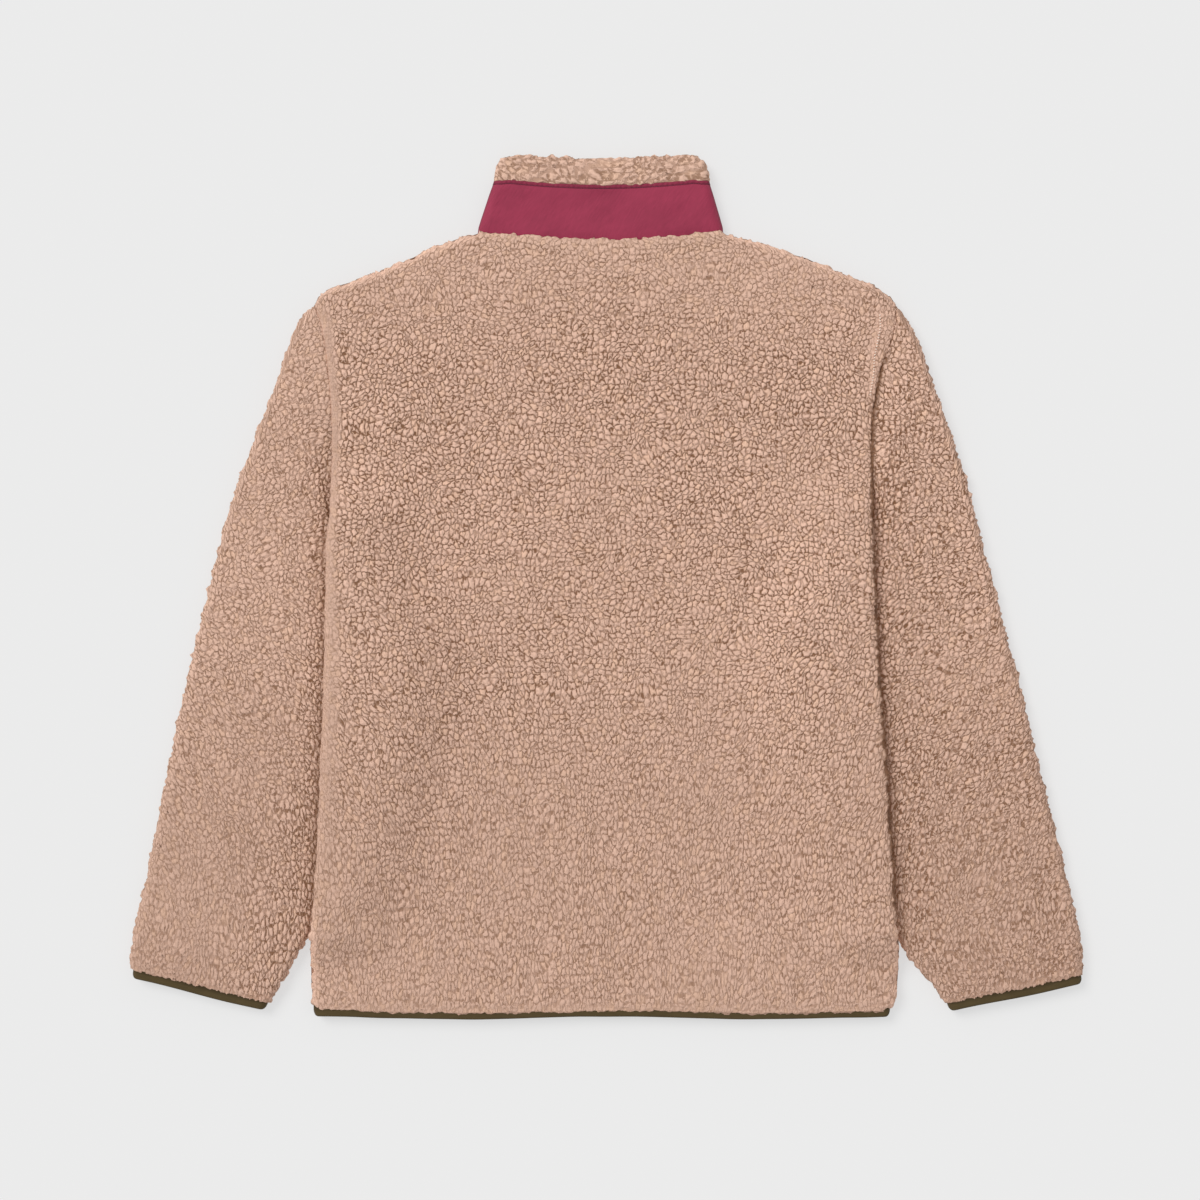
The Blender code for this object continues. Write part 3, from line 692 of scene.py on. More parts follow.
class CurlReader:
    """Reads the curls at points of the flat cloth, as the material draws them."""

    PROBE = 0.00006

    @cached_property
    def group(self) -> bpy.types.NodeTree:
        """Builds the node group that the curls are read with.

        Returns:
            Nodes that store the distance to the nearest crack and the tint of each point.
        """
        group = bpy.data.node_groups.new("curl_reader", "GeometryNodeTree")
        for way in ("INPUT", "OUTPUT"):
            group.interface.new_socket("Geometry", in_out=way, socket_type="NodeSocketGeometry")
        graph = Graph(group)
        flow = graph.node("NodeGroupInput", {}, {})
        edge, tint = CURLS.lay(graph, graph.node("GeometryNodeInputPosition", {}, {}))
        for name, kind, value in (("edge", "FLOAT", edge), ("tint", "FLOAT_VECTOR", tint)):
            flow = graph.node("GeometryNodeStoreNamedAttribute",
                              {"data_type": kind, "domain": "POINT"},
                              {"Geometry": flow, "Name": name, "Value": value})
        graph.put(group.nodes.new("NodeGroupOutput").inputs[0], flow)
        return group

    def cells(self, cloth: Numbers) -> Tuple[Numbers, Numbers]:
        """Reads the curls.

        Args:
            cloth: places on the flat cloth, in rows of two numbers.

        Returns:
            Each place's distance from the nearest crack, in metres, and its curl's tint.
        """
        mesh = bpy.data.meshes.new("curl_points")
        mesh.vertices.add(len(cloth))
        flat = np.zeros((len(cloth), 3), np.float32)
        flat[:, :2] = cloth
        mesh.vertices.foreach_set("co", flat.ravel())
        holder = bpy.data.objects.new("curl_points", mesh)
        bpy.context.scene.collection.objects.link(holder)
        holder.modifiers.new("read", "NODES").node_group = self.group
        seen = holder.evaluated_get(bpy.context.evaluated_depsgraph_get()).data
        edge, tint = (np.zeros(len(cloth) * size, np.float32) for size in (1, 3))
        seen.attributes["edge"].data.foreach_get("value", edge)
        seen.attributes["tint"].data.foreach_get("vector", tint)
        bpy.data.objects.remove(holder)
        bpy.data.meshes.remove(mesh)
        return edge.astype(float) * CURLS.pitch, tint.reshape(-1, 3).astype(float)

    def read(self, cloth: Numbers) -> Tuple[Numbers, Numbers, Numbers]:
        """Reads the curls and the way to the nearest crack.

        Args:
            cloth: a net of places on the flat cloth.

        Returns:
            Nets of the distance from the nearest crack, the step onto it and a random number of
            each curl.
        """
        flat = cloth.reshape(-1, 2)
        edge, tint = self.cells(flat)
        slopes = [(self.cells(flat + step)[0] - edge) / self.PROBE
                  for step in self.PROBE * np.eye(2)]
        slope = np.stack(slopes, axis=-1)
        size = np.maximum((slope ** 2).sum(axis=1, keepdims=True), 0.25)
        onto = -edge[:, None] * slope / size
        net = cloth.shape[:2]
        return edge.reshape(net), onto.reshape(*net, 2), tint[:, 0].reshape(net)


READER = CurlReader()


def unit(vectors: Numbers) -> Numbers:
    """The vectors made one long."""
    return vectors / np.maximum(np.linalg.norm(vectors, axis=-1, keepdims=True), 1e-12)


@dataclass
class Surface:
    """A net of points on one face of a cloth, rows by columns.

    Attributes:
        wraps: whether the last column meets the first.
        outwards: 1, or -1 where columns cross rows gives a normal into the cloth.
    """

    points: Numbers
    wraps: bool = False
    outwards: int = 1

    def slopes(self) -> Tuple[Numbers, Numbers, Numbers]:
        """Works out how the surface lies.

        Returns:
            Unit directions across the columns and along the rows, and the normals.
        """
        if self.wraps:
            wide = np.concatenate([self.points[:, -1:], self.points, self.points[:, :1]], axis=1)
            across = np.gradient(wide, axis=1)[:, 1:-1]
        else:
            across = np.gradient(self.points, axis=1)
        along = np.gradient(self.points, axis=0)
        return unit(across), unit(along), unit(np.cross(across, along)) * self.outwards

    def arc(self, axis: int, middle: int) -> Numbers:
        """Distances along the cloth from its middle row or column.

        Args:
            axis: 0 down the rows and 1 across the columns.
            middle: index of the row or column at zero.

        Returns:
            A distance for each point.
        """
        steps = np.linalg.norm(np.diff(self.points, axis=axis), axis=-1)
        start = np.zeros_like(np.take(steps, [0], axis=axis))
        total = np.concatenate([start, np.cumsum(steps, axis=axis)], axis=axis)
        return total - np.take(total, [middle], axis=axis)


def bent(across: Numbers, along: Numbers, seed: int) -> Numbers:
    """Flat places moved by soft waves, so that curls vary in size and shape.

    Args:
        across: first coordinate.
        along: second coordinate.
        seed: which waves.

    Returns:
        A net of the two new coordinates.
    """
    across, along = across + seed * 0.37, along + seed * 0.23
    moved = [own + 0.004 * Ripple(0.024, seed * 5 + item)(across, along)
             for item, own in ((0, across), (1, along))]
    return np.stack(moved, axis=-1)


@dataclass
class Face:
    """What a cloth piece's outer face is like at each point.

    Attributes:
        cloth: places on the flat cloth.
        crisp: how clear and deep the curls and their painted crack shade are, 0 for plain cloth.
        mark: darkening of the cloth, partly painted shade; below 0 paler, partly painted light.
        still: share by which points keep their place.
        fringe: share by which loose tufts stick out, as at an edge.
    """

    cloth: Numbers
    crisp: Numbers
    mark: Numbers
    still: Numbers
    fringe: Numbers

    @classmethod
    def woven(cls, cloth: Numbers, mark: Numbers) -> "Face":
        """The face of plain cloth without pile."""
        plain = 0 * mark
        return cls(cloth, plain, mark, plain, plain)

    def closed(self) -> "Face":
        """The same with its first row once more at its end."""
        return Face(*(np.concatenate([item, item[:1]]) for item in vars(self).values()))


@dataclass
class Pile:
    """How the pile of one piece is raised.

    Attributes:
        seed: which waves bend its rows of curls.
        rise: height of a curl's top over the cloth's mean surface.
        sink: depth of a crack under it.
        snap: distance from a crack within which points move onto it.
        dome: how far from a crack a curl has most of its height.
        tuft: how far loose tufts stick out.
    """

    seed: int
    rise: float = 0.0004
    sink: float = 0.0009
    snap: float = 0.0009
    dome: float = 0.0005
    tuft: float = 0.0016

    def dress(self, surface: Surface, face: Face) -> Numbers:
        """Raises the curls on a surface and moves its flat places with their points.

        Args:
            surface: the face of the cloth before it has curls.
            face: what it is like.

        Returns:
            The new points.
        """
        across, along, normals = surface.slopes()
        edge, onto, tone = READER.read(face.cloth)
        free = 1 - face.still
        near = (edge < self.snap) & (face.crisp > 0.15)
        shift = onto * (near * free * 0.9)[..., None]
        depth = np.where(near, 0.0, edge)
        a, b = face.cloth[..., 0], face.cloth[..., 1]
        uneven = Ripple(0.0042, self.seed + 7)(a, b)
        loose = np.maximum(Ripple(0.003, self.seed + 8)(a, b), -0.3)
        high = (1 - np.exp(-depth / self.dome)) * (self.rise + self.sink) - self.sink
        high = high + 0.0004 * (tone - 0.5)
        loose = (loose + np.maximum(uneven, -0.4)) * self.tuft * face.fringe
        height = (0.00035 * uneven + high * face.crisp + loose) * free
        points = (surface.points + across * shift[..., :1] + along * shift[..., 1:]
                  + normals * height[..., None])
        points[..., 2] = np.maximum(points[..., 2], 0.0)
        face.cloth = face.cloth + shift
        return points


def finished(mesh: bpy.types.Mesh, material: Material) -> Object:
    """Makes a smooth object of a mesh.

    Args:
        mesh: the mesh, which has the piece's name.
        material: the piece's material.

    Returns:
        The object, at the origin.
    """
    mesh.shade_smooth()
    mesh.materials.append(material)
    made = bpy.data.objects.new(mesh.name, mesh)
    bpy.context.scene.collection.objects.link(made)
    return made


class ClothMesh:
    """Collects one closed cloth piece: vertices, triangles and attributes."""

    def __init__(self) -> None:
        """Starts an empty piece."""
        self.points: List[Numbers] = []
        self.places: List[Numbers] = []
        self.marks: List[Numbers] = []
        self.triangles: List[Numbers] = []
        self.corners: List[Numbers] = []
        self.count = 0

    def add_net(self, points: Numbers, face: Optional[Face] = None, wraps: bool = False,
                turned: bool = False) -> Numbers:
        """Adds a net with its faces, each cut along its shorter diagonal.

        Args:
            points: rows by columns of places.
            face: what it is like, if it isn't plain.
            wraps: whether the last column meets the first.
            turned: whether the faces' order is reversed.

        Returns:
            The vertices' indices, rows by columns.
        """
        rows, columns = points.shape[:2]
        index = np.arange(rows * columns).reshape(rows, columns) + self.count
        self.count += rows * columns
        face = face or Face.woven(points[..., :2], np.zeros((rows, columns)))
        cloth = face.cloth
        self.points.append(points.reshape(-1, 3))
        self.places.append(cloth.reshape(-1, 2))
        self.marks.append(np.stack([face.crisp, face.mark], -1).reshape(-1, 2))
        if wraps:
            beyond = cloth[:, -1:] + (cloth[:, -1:] - cloth[:, -2:-1])
            cloth = np.concatenate([cloth, beyond], axis=1)
            index = np.concatenate([index, index[:, :1]], axis=1)
            points = np.concatenate([points, points[:, :1]], axis=1)
        rows, columns = points.shape[:2]
        grid = np.arange(rows * columns).reshape(rows, columns)
        corners = [grid[:-1, :-1], grid[:-1, 1:], grid[1:, 1:], grid[1:, :-1]]
        flat = points.reshape(-1, 3)
        first, second = (np.linalg.norm(flat[corners[item]] - flat[corners[item + 2]], axis=-1)
                         for item in (0, 1))
        pick = (first <= second)[..., None]
        one = np.where(pick, np.stack(corners[:3], -1), np.stack([*corners[:2], corners[3]], -1))
        two = np.where(pick, np.stack([corners[0], *corners[2:]], -1), np.stack(corners[1:], -1))
        faces = np.concatenate([one.reshape(-1, 3), two.reshape(-1, 3)])
        faces = faces[:, ::-1] if turned else faces
        self.triangles.append(index.ravel()[faces])
        self.corners.append(cloth.reshape(-1, 2)[faces])
        return index[:, :-1] if wraps else index

    def add_faces(self, faces: Sequence[Sequence[int]], turned: bool) -> None:
        """Adds triangles between vertices that are there already."""
        self.triangles.append(np.array(faces)[:, ::-1 if turned else 1])
        self.corners.append(np.concatenate(self.places)[self.triangles[-1]])

    def add_rim(self, fine: Sequence[int], coarse: Sequence[int], match: Sequence[int],
                turned: bool) -> None:
        """Joins a loop of vertices to a coarser one.

        Args:
            fine: vertices of the fine loop.
            coarse: vertices of the coarse loop.
            match: for each coarse vertex the place in the fine loop that it faces.
            turned: whether the faces' order is reversed.
        """
        faces = []
        total = len(fine)
        for item, (start, end) in enumerate(zip(match, [*match[1:], total])):
            after = (item + 1) % len(match)
            middle = (start + end) // 2
            faces += [(fine[place], fine[(place + 1) % total],
                       coarse[item] if place < middle else coarse[after])
                      for place in range(start, end)]
            faces.append((coarse[item], fine[middle % total], coarse[after]))
        self.add_faces(faces, turned)

    def add_cap(self, loop: Numbers, turned: bool) -> None:
        """Closes the end of a wall.

        Args:
            loop: its vertices, up one face and down the other.
            turned: whether the faces' order is reversed.
        """
        faces = []
        for item in range(len(loop) // 2 - 1):
            a, b, c, d = loop[item], loop[item + 1], loop[-2 - item], loop[-1 - item]
            faces += [(a, b, c), (a, c, d)]
        self.add_faces(faces, turned)

    def add_strip(self, points: Numbers, face: Face) -> None:
        """Adds a strip whose section is a closed loop, with a cap at each end."""
        for item, loop in enumerate(self.add_net(points, face, True)[[0, -1]]):
            self.add_cap(loop, item == 0)

    def finish(self, name: str, material: Material) -> Object:
        """Makes the object.

        Args:
            name: the piece's name.
            material: its material.

        Returns:
            The object, at the origin.
        """
        points = np.concatenate(self.points).astype(np.float32)
        faces = np.concatenate(self.triangles).astype(np.int32)
        corners = np.concatenate(self.corners)
        a, b, c = (points[faces[:, item]].astype(float) for item in range(3))
        if (np.cross(a, b) * c).sum() < 0:
            faces, corners = faces[:, ::-1], corners[:, ::-1]
        mesh = bpy.data.meshes.new(name)
        mesh.vertices.add(len(points))
        mesh.vertices.foreach_set("co", points.ravel())
        mesh.loops.add(faces.size)
        mesh.loops.foreach_set("vertex_index", np.ascontiguousarray(faces).ravel())
        mesh.polygons.add(len(faces))
        mesh.polygons.foreach_set("loop_start", np.arange(0, faces.size, 3, dtype=np.int32))
        mesh.update(calc_edges=True)
        flat = np.zeros((faces.size, 3), np.float32)
        flat[:, :2] = corners.reshape(-1, 2)
        layer = mesh.attributes.new("cloth", "FLOAT_VECTOR", "CORNER")
        layer.data.foreach_set("vector", flat.ravel())
        marks = np.concatenate(self.marks).astype(np.float32)
        for item, key in enumerate(("crisp", "mark")):
            layer = mesh.attributes.new(key, "FLOAT", "POINT")
            layer.data.foreach_set("value", np.ascontiguousarray(marks[:, item]))
        return finished(mesh, material)


def every(count: int, step: int) -> List[int]:
    """Indices a step apart, with the first and the last always kept.

    Args:
        count: how many there are to choose from.
        step: how far apart the chosen ones are.

    Returns:
        The chosen indices.
    """
    chosen = list(range(0, count - 1, step))
    if len(chosen) > 1 and count - 1 - chosen[-1] < step // 2:
        chosen.pop()
    return chosen + [count - 1]


def raised_plan(plan: Numbers, level: Numbers) -> Numbers:
    """Points of a plan at levels over the plane in the middle of the cloth."""
    return np.concatenate([plan, (OUTLINE.outer + level)[..., None]], -1)


def border(rows: int, columns: int) -> List[Tuple[int, int]]:
    """The places round the rim of a net, in order."""
    return ([(0, column) for column in range(columns)]
            + [(row, columns - 1) for row in range(1, rows)]
            + [(rows - 1, column) for column in range(columns - 2, -1, -1)]
            + [(row, 0) for row in range(rows - 2, 0, -1)])


def settle(piece: Object, nodes: Sequence[str]) -> Object:
    """Puts a piece on the jacket's body, in place of its CAD nodes.

    Args:
        piece: the finished piece.
        nodes: the nodes that it stands for, if any.

    Returns:
        The piece.
    """
    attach(piece, ROOT)
    if nodes:
        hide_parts(*nodes)
    faces = sum(len(face.vertices) - 2 for face in piece.data.polygons)
    LOG.info("%s: %d triangles", piece.name, faces)
    return piece


def ragged(place: Numbers, seed: int) -> Numbers:
    """How far an edge of pile wanders at places along it, the tufts in it being a few mm wide."""
    return (0.0007 * Ripple(0.011, seed)(place, place * 0 + 0.5)
            + 0.0009 * Ripple(0.0034, seed + 1)(place, place * 0 + 0.5))


def pile_end(up: Numbers, drop: Pair, full: float, seed: int,
             place: Numbers) -> Numbers:
    """Distance of the pile's surface from the middle plane where it ends in a binding.

    Args:
        up: height above the binding's lower edge.
        drop: heights between which the pile falls into the binding.
        full: height from which it has its full thickness.
        seed: which tufts.
        place: place along the edge.

    Returns:
        A net of distances.
    """
    height = up + ragged(place, seed)
    rest = OUTLINE.binding_outer + OUTLINE.rest_gap
    edge = rest + (OUTLINE.outer - rest) * rounded(height - drop[1], 0.0, full - drop[1])
    return blend(np.minimum(OUTLINE.pressed, edge), edge, ease(height, *drop))


# ---- Body: the back and the two fronts ----

class Layer(Enum):
    """The two layers of the body."""

    BACK = 1
    FRONT = -1


@dataclass
class BodyPanel:
    """A panel of the body, with its pile outside.

    Attributes:
        flat: width and length of its cut; not used.
        area: area of its cut; not used.
        behind: how far the fronts' edges stay inside the back's.
        low_side: heights between which the lower part of the sides ends.
        yoke: heights between which the yoke's looks begin beside the armholes.
    """

    name: str
    node: str
    layer: Layer
    hands: Tuple[Hand, ...]
    pile: Pile
    step: float
    flat: Pair
    area: float
    fold_edge: float = 0.18
    fold_reach: float = 0.008
    sewn_edge: float = 0.8
    sewn_reach: float = 0.0035
    over_sleeve: float = 0.0006
    neck_over: float = 0.0026
    neck_reach: float = 0.003
    neck_under: float = 0.007
    placket: Pair = (0.014, 0.018)
    hem_full: float = 0.009
    hem_drop: Pair = (0.0046, 0.0054)
    hem_rows: float = 0.011
    behind: float = 0.0006
    low_side: Pair = (-0.33, -0.28)
    yoke: Pair = (0.165, 0.185)
    inner_step: int = 12
    stitches: Pairs = (
        (0.1822, 0.0052), (0.1941, 0.0056), (0.2153, 0.0104), (0.2493, 0.0146),
    )
    waves: Rows = (
        (-0.171, 0.02, 0.03, 0.0018), (-0.09, -0.05, 0.026, -0.0013),
        (-0.015, 0.03, 0.034, 0.0019), (0.064, 0.02, 0.024, -0.0013), (0.141, -0.06, 0.034, 0.0018),
    )

    def columns(self) -> Numbers:
        """Places across the panel.

        Returns:
            -1 at the left side, 0 at the centre and 1 at the right side, from left to right.
        """
        halves = []
        for hand in self.hands:
            reach = self.reach(hand)
            insets = arc_insets(self.fold_reach, 6)
            if self.layer is Layer.BACK:
                insets += spread(self.fold_reach, reach, self.step)
            else:
                edge = reach - OUTLINE.front_edge
                insets += spread(self.fold_reach, edge - self.sewn_reach, self.step)[:-1]
                insets += [edge - item for item in reversed(arc_insets(self.sewn_reach, 4))]
            places = [hand.value * (1 - inset / reach) for inset in insets]
            halves.append(places if hand is Hand.LEFT else places[::-1])
        if len(halves) == 2:
            halves[1] = halves[1][1:]
        return np.concatenate(halves)

    def reach(self, hand: Hand) -> float:
        """Distance from the centre line to the shoulder tip."""
        return float(abs(OUTLINE.side_x(hand, np.array(OUTLINE.tip_y)) - OUTLINE.centre_x))

    def rows(self) -> Numbers:
        """Places down the panel.

        Returns:
            Shares of its length, the first of them of a hidden row under its edge.
        """
        length = OUTLINE.side_length
        heights = [0.0] + arc_insets(self.fold_reach, 6)
        heights += graded(self.fold_reach, length - self.hem_rows, length, self.step * 0.95)
        return np.array(heights) / length

    @cached_property
    def net(self) -> Nets:
        """Plan and distances of every point.

        Returns:
            Nets by name: x, y, side (distance from the side edge), out (from the centre line),
            down (from the top), up (above the hem binding's lower edge) and neck (1 at the neck).
        """
        u, v = np.meshgrid(self.columns(), self.rows())
        drop = OUTLINE.back_drop if self.layer is Layer.BACK else OUTLINE.front_drop
        behind = self.behind if self.layer is Layer.FRONT else 0.0
        xs = []
        for place in (0.0, v, 1.0):
            height = OUTLINE.tip_y - place * OUTLINE.side_length + 0 * u
            side = np.where(u < 0, *(OUTLINE.side_x(hand, height) for hand in Hand))
            xs.append(OUTLINE.centre_x + (side - OUTLINE.centre_x) * np.abs(u))
        reach = np.where(u < 0, *(self.reach(hand) for hand in Hand))
        down, side = v * OUTLINE.side_length, reach * (1 - np.abs(u))
        sewn = ease(1 - side / 0.003, 0.0, 1.0) * np.sign(u)
        xs[1] = xs[1] + self.over_sleeve * sewn * ease(down, 0.0, 0.012)
        out = np.abs(xs[0] - OUTLINE.centre_x)
        at_neck = fade(out, OUTLINE.neck_half - 0.004, OUTLINE.neck_half)
        tufts = 1.3 * ragged(xs[0], 31) - behind
        over = (self.neck_over * at_neck + tufts) * fade(down, 0, 0.008)
        over[0] = over[0] * (1 - at_neck[0])
        y = blend(OUTLINE.top(xs[0], drop), OUTLINE.hem(xs[2]) + OUTLINE.inset, v) + over
        tuft = np.maximum(1.2 * ragged(y, 51), -0.0024 * fade(y, -0.36, -0.31))
        tuft = tuft * np.where(u < 0, 1 - 0.9 * ease(y, *self.low_side), 1.0)
        loose = (tuft - behind) * fade(side, 0.0, 0.008) * fade(y, *OUTLINE.tuck_top)
        xs[1] = xs[1] + loose * np.sign(u) * ease(y, -0.392, -0.375)
        return {"x": xs[1], "y": y, "out": reach * np.abs(u), "side": side, "down": down,
                "up": (1 - v) * OUTLINE.side_length + OUTLINE.inset, "neck": at_neck}

    def distances(self) -> Tuple[Numbers, Numbers]:
        """Works out the wall's distances from the plane between the layers.

        Returns:
            Nets of the inner and the outer distances.
        """
        net = self.net
        sewn = ease(net["y"], *OUTLINE.tuck_top)
        sides = blend(rounded(net["side"], self.fold_edge, self.fold_reach),
                      rounded(net["side"], self.sewn_edge, self.sewn_reach), sewn)
        tops = blend(rounded(net["down"], self.fold_edge, self.fold_reach),
                     rounded(net["down"], 0.96, self.neck_reach), net["neck"])
        share = np.minimum(sides, tops)
        inner = np.full_like(share, OUTLINE.inner)
        if self.layer is Layer.FRONT:
            edge = net["out"] - OUTLINE.front_edge
            inner = blend(OUTLINE.placket_inner, inner, ease(edge, *self.placket))
            share = np.minimum(share, rounded(edge, 0.62, self.sewn_reach))
        outer = inner + (OUTLINE.outer - inner) * share
        outer[0] = np.minimum(outer[0] * 0.7, self.neck_under)
        lower = 0.0022 * np.exp(-((net["x"] + 0.264) / 0.035) ** 2)
        outer = np.minimum(outer, pile_end(net["up"] - lower, self.hem_drop, self.hem_full,
                                           self.pile.seed + 40, net["x"]))
        return OUTLINE.gripped(inner, net["up"]), outer

    def face(self, surface: Surface) -> Face:
        """What the outer face is like.

        Args:
            surface: the outer face without curls.

        Returns:
            The face: curls are clearest on the yoke and softest in the lower part.
        """
        net = self.net
        x, y, side = net["x"], net["y"], net["side"]
        left, right = x < OUTLINE.centre_x, x > OUTLINE.centre_x
        patches = Ripple(0.09, self.pile.seed + 1)(x, y)
        crisp = 1.12 - 0.34 * ease(-y, -0.05, 0.28) + 0.14 * patches
        crisp = crisp * (1 - 0.25 * ease(y, 0.2, 0.3))
        mark = 0.15 * ease(-y, -0.05, 0.25)
        if self.layer is Layer.BACK:
            edge = side + 0.0016 * Ripple(0.009, 5)(x, y)
            lower = fade(y, -0.08, 0.08)
            strip = (between(y, (-0.3, -0.16, 0.245, 0.268)) * (1 - 0.3 * lower)
                     * fade(edge, 0.003 + 0.004 * lower, 0.011 + 0.011 * lower) * left)
            sewn_at = Table(self.stitches)(y)
            line = np.exp(-((side - sewn_at) / 0.0022) ** 2)
            line = line * ease(y, *self.yoke) * fade(y, 0.245, 0.262) * right
            seam = between(y, (*self.yoke, 0.25, 0.266)) * right * fade(edge - sewn_at, 0.0, 0.002)
            crisp = crisp * (1 - 0.85 * strip) * (1 - 0.6 * line) * (1 - 0.3 * seam)
            # Painted shade along the back's right rim, beside the crease with the sleeve.
            shaded = (between(y, (*self.low_side, 0.19, 0.24)) * right
                      * fade(side, 0.0004, 0.0018))
            mark = mark + 0.03 * strip - 0.2 * line - 0.06 * seam + 1.3 * shaded
        crisp = crisp * (0.4 + 0.6 * ease(net["up"], 0.005, 0.018))
        still = np.where(net["up"] < 0.0036, 0.7, 0.0) + 0 * x
        still[0], still[-1] = net["neck"][0], 1.0
        if self.layer is Layer.FRONT:
            still[:, -1 if self.hands[0] is Hand.LEFT else 0] = 0.7
        rim = fade(np.minimum(side, net["down"]), 0.0, 0.003)
        sewn = ease(y, *OUTLINE.tuck_top) * fade(side, 0.0, 0.003)
        free = fade(y, *self.low_side)
        # Painted light: the top rims and the free lower sides get paler colour and less crack
        # shade, against the shade on their rolled edges.
        painted_rim_light = np.maximum(fade(net["down"], 0.001, 0.0055),
                          fade(side, 0.001, 0.0055) * free) * (1 - sewn)
        crisp, mark = crisp * (1 - 0.55 * painted_rim_light), mark - 0.55 * painted_rim_light * (1 - 0.6 * net["neck"])
        still = np.maximum(still, 0.6 * fade(side, 0.0, 0.004) * (1 - free) * left)
        fringe = rim * (1 - sewn) * (1 - 0.6 * net["neck"])
        return Face(self.flat_places(surface), np.clip(crisp, 0, 1.3), mark, still, fringe)

    def stitch_line(self, step: float) -> Numbers:
        """Places of the stitches beside the right armhole.

        Args:
            step: distance between neighbours.

        Returns:
            A row of points.
        """
        y = np.arange(self.stitches[0][0] - 0.006, self.stitches[-1][0], step)
        x = OUTLINE.side_x(Hand.RIGHT, y) - Table(self.stitches)(y)
        return np.stack([x, y, 0 * y + 2 * OUTLINE.outer - 0.0001], axis=-1)

    def folds(self) -> Numbers:
        """Low soft waves of the cloth where it lies loosely.

        Returns:
            Heights away from the ground.
        """
        net = self.net
        x, y = net["x"], net["y"]
        height = 0 * x
        for centre, lean, width, size in self.waves:
            height = height + size * np.exp(-((x - centre - lean * y) / width) ** 2)
        pleats = 0.0007 * Ripple(0.07, self.pile.seed + 11)(x * 1.6, y * 0.5)
        height = (height + pleats) * ease(-y, 0.06, 0.26)
        height = height + 0.0009 * Ripple(0.16, self.pile.seed + 12)(x, y)
        away = np.minimum(ease(net["side"], 0.0, 0.03), ease(net["down"], 0.0, 0.03))
        away = away * ease(net["up"], 0.01, 0.03)
        if self.layer is Layer.BACK:
            return height * away
        return np.maximum(height, 0) * 0.7 * away * ease(net["out"], 0.01, 0.03)

    def build(self) -> Object:
        """Builds the panel.

        Returns:
            The finished piece.
        """
        x, y = self.net["x"], self.net["y"]
        side = self.layer.value
        inner, outer = self.distances()
        level = OUTLINE.outer + OUTLINE.raised(x, y)
        points = np.stack([x, y, level + side * outer + self.folds()], axis=-1)
        surface = Surface(points, outwards=-side)
        rows, columns = x.shape
        face = self.face(surface)
        mesh = ClothMesh()
        fine = mesh.add_net(self.pile.dress(surface, face), face)
        keep_rows, keep_columns = every(rows, self.inner_step), every(columns, self.inner_step)
        pick = np.ix_(keep_rows, keep_columns)
        inside = np.stack([x, y, level + side * inner], axis=-1)[pick]
        coarse = mesh.add_net(inside, turned=True)
        order = {place: item for item, place in enumerate(border(rows, columns))}
        ring = border(len(keep_rows), len(keep_columns))
        match = [order[(keep_rows[row], keep_columns[column])] for row, column in ring]
        mesh.add_rim([fine[place] for place in order], [coarse[place] for place in ring], match,
                     True)
        return settle(mesh.finish(self.name, PILE.material), [self.node])

    def flat_places(self, surface: Surface) -> Numbers:
        """Places on the flat cloth, drawn out so that curls grow longer and narrower lower down.

        Args:
            surface: the outer face.

        Returns:
            A net of two coordinates.
        """
        x, y = self.net["x"], self.net["y"]
        centre = int(np.argmin(np.abs(x[0] - OUTLINE.centre_x)))
        middle = len(y) // 2
        across = surface.arc(1, centre) + x[:, centre:centre + 1]
        along = y[middle:middle + 1] - surface.arc(0, middle)
        return drawn_out(across, along, y, (-0.3, 0.02), self.pile.seed)


def drawn_out(across: Numbers, along: Numbers, y: Numbers, reach: Pair,
              seed: int) -> Numbers:
    """Flat places whose curls grow longer and narrower towards the lower end.

    Args:
        across: distances across the cloth.
        along: distances up the cloth.
        y: the same heights as they lie.
        reach: lower and upper height of the change.
        seed: which waves bend them.

    Returns:
        A net of two coordinates.
    """
    heights = np.linspace(-0.9, 0.9, 900)
    shares = blend(0.66, 1.0, ease(heights, *reach))
    summed = np.cumsum(shares) * (heights[1] - heights[0])
    return bent(across * blend(1.3, 1.0, ease(y, *reach)),
                np.interp(along, heights, summed), seed)


@dataclass
class Body:
    """The back and both fronts."""

    panels: List[BodyPanel] = field(default_factory=lambda: [
        BodyPanel("back_pile", "back", Layer.BACK, (Hand.LEFT, Hand.RIGHT), Pile(1), 0.00206,
                  (0.54, 0.72), 0.375),
        BodyPanel("front_left_pile", "front_left", Layer.FRONT, (Hand.LEFT,),
                  Pile(2, rise=0.0001, sink=0.0018), 0.0026, (0.265, 0.72), 0.18),
        BodyPanel("front_right_pile", "front_right", Layer.FRONT, (Hand.RIGHT,),
                  Pile(3, rise=0.0001, sink=0.0018), 0.0026, (0.265, 0.72), 0.18),
    ])

    def build(self, tapes: Sequence[Object]) -> List[Object]:
        """Builds the panels and the stitches beside the right armhole.

        Args:
            tapes: the zip's tapes, which are sewn to the fronts; not used.

        Returns:
            The pieces.
        """
        made = [panel.build() for panel in self.panels]
        thread = ThreadFinish("armhole_thread", (0.98, 0.8, 0.68)).material
        stitches = StitchRow("armhole_stitches", 0.0012, 0.0015).build(
            self.panels[0].stitch_line(0.0026), thread, "pile_cloth")
        return made


# ---- Sleeves and their cuff bindings ----

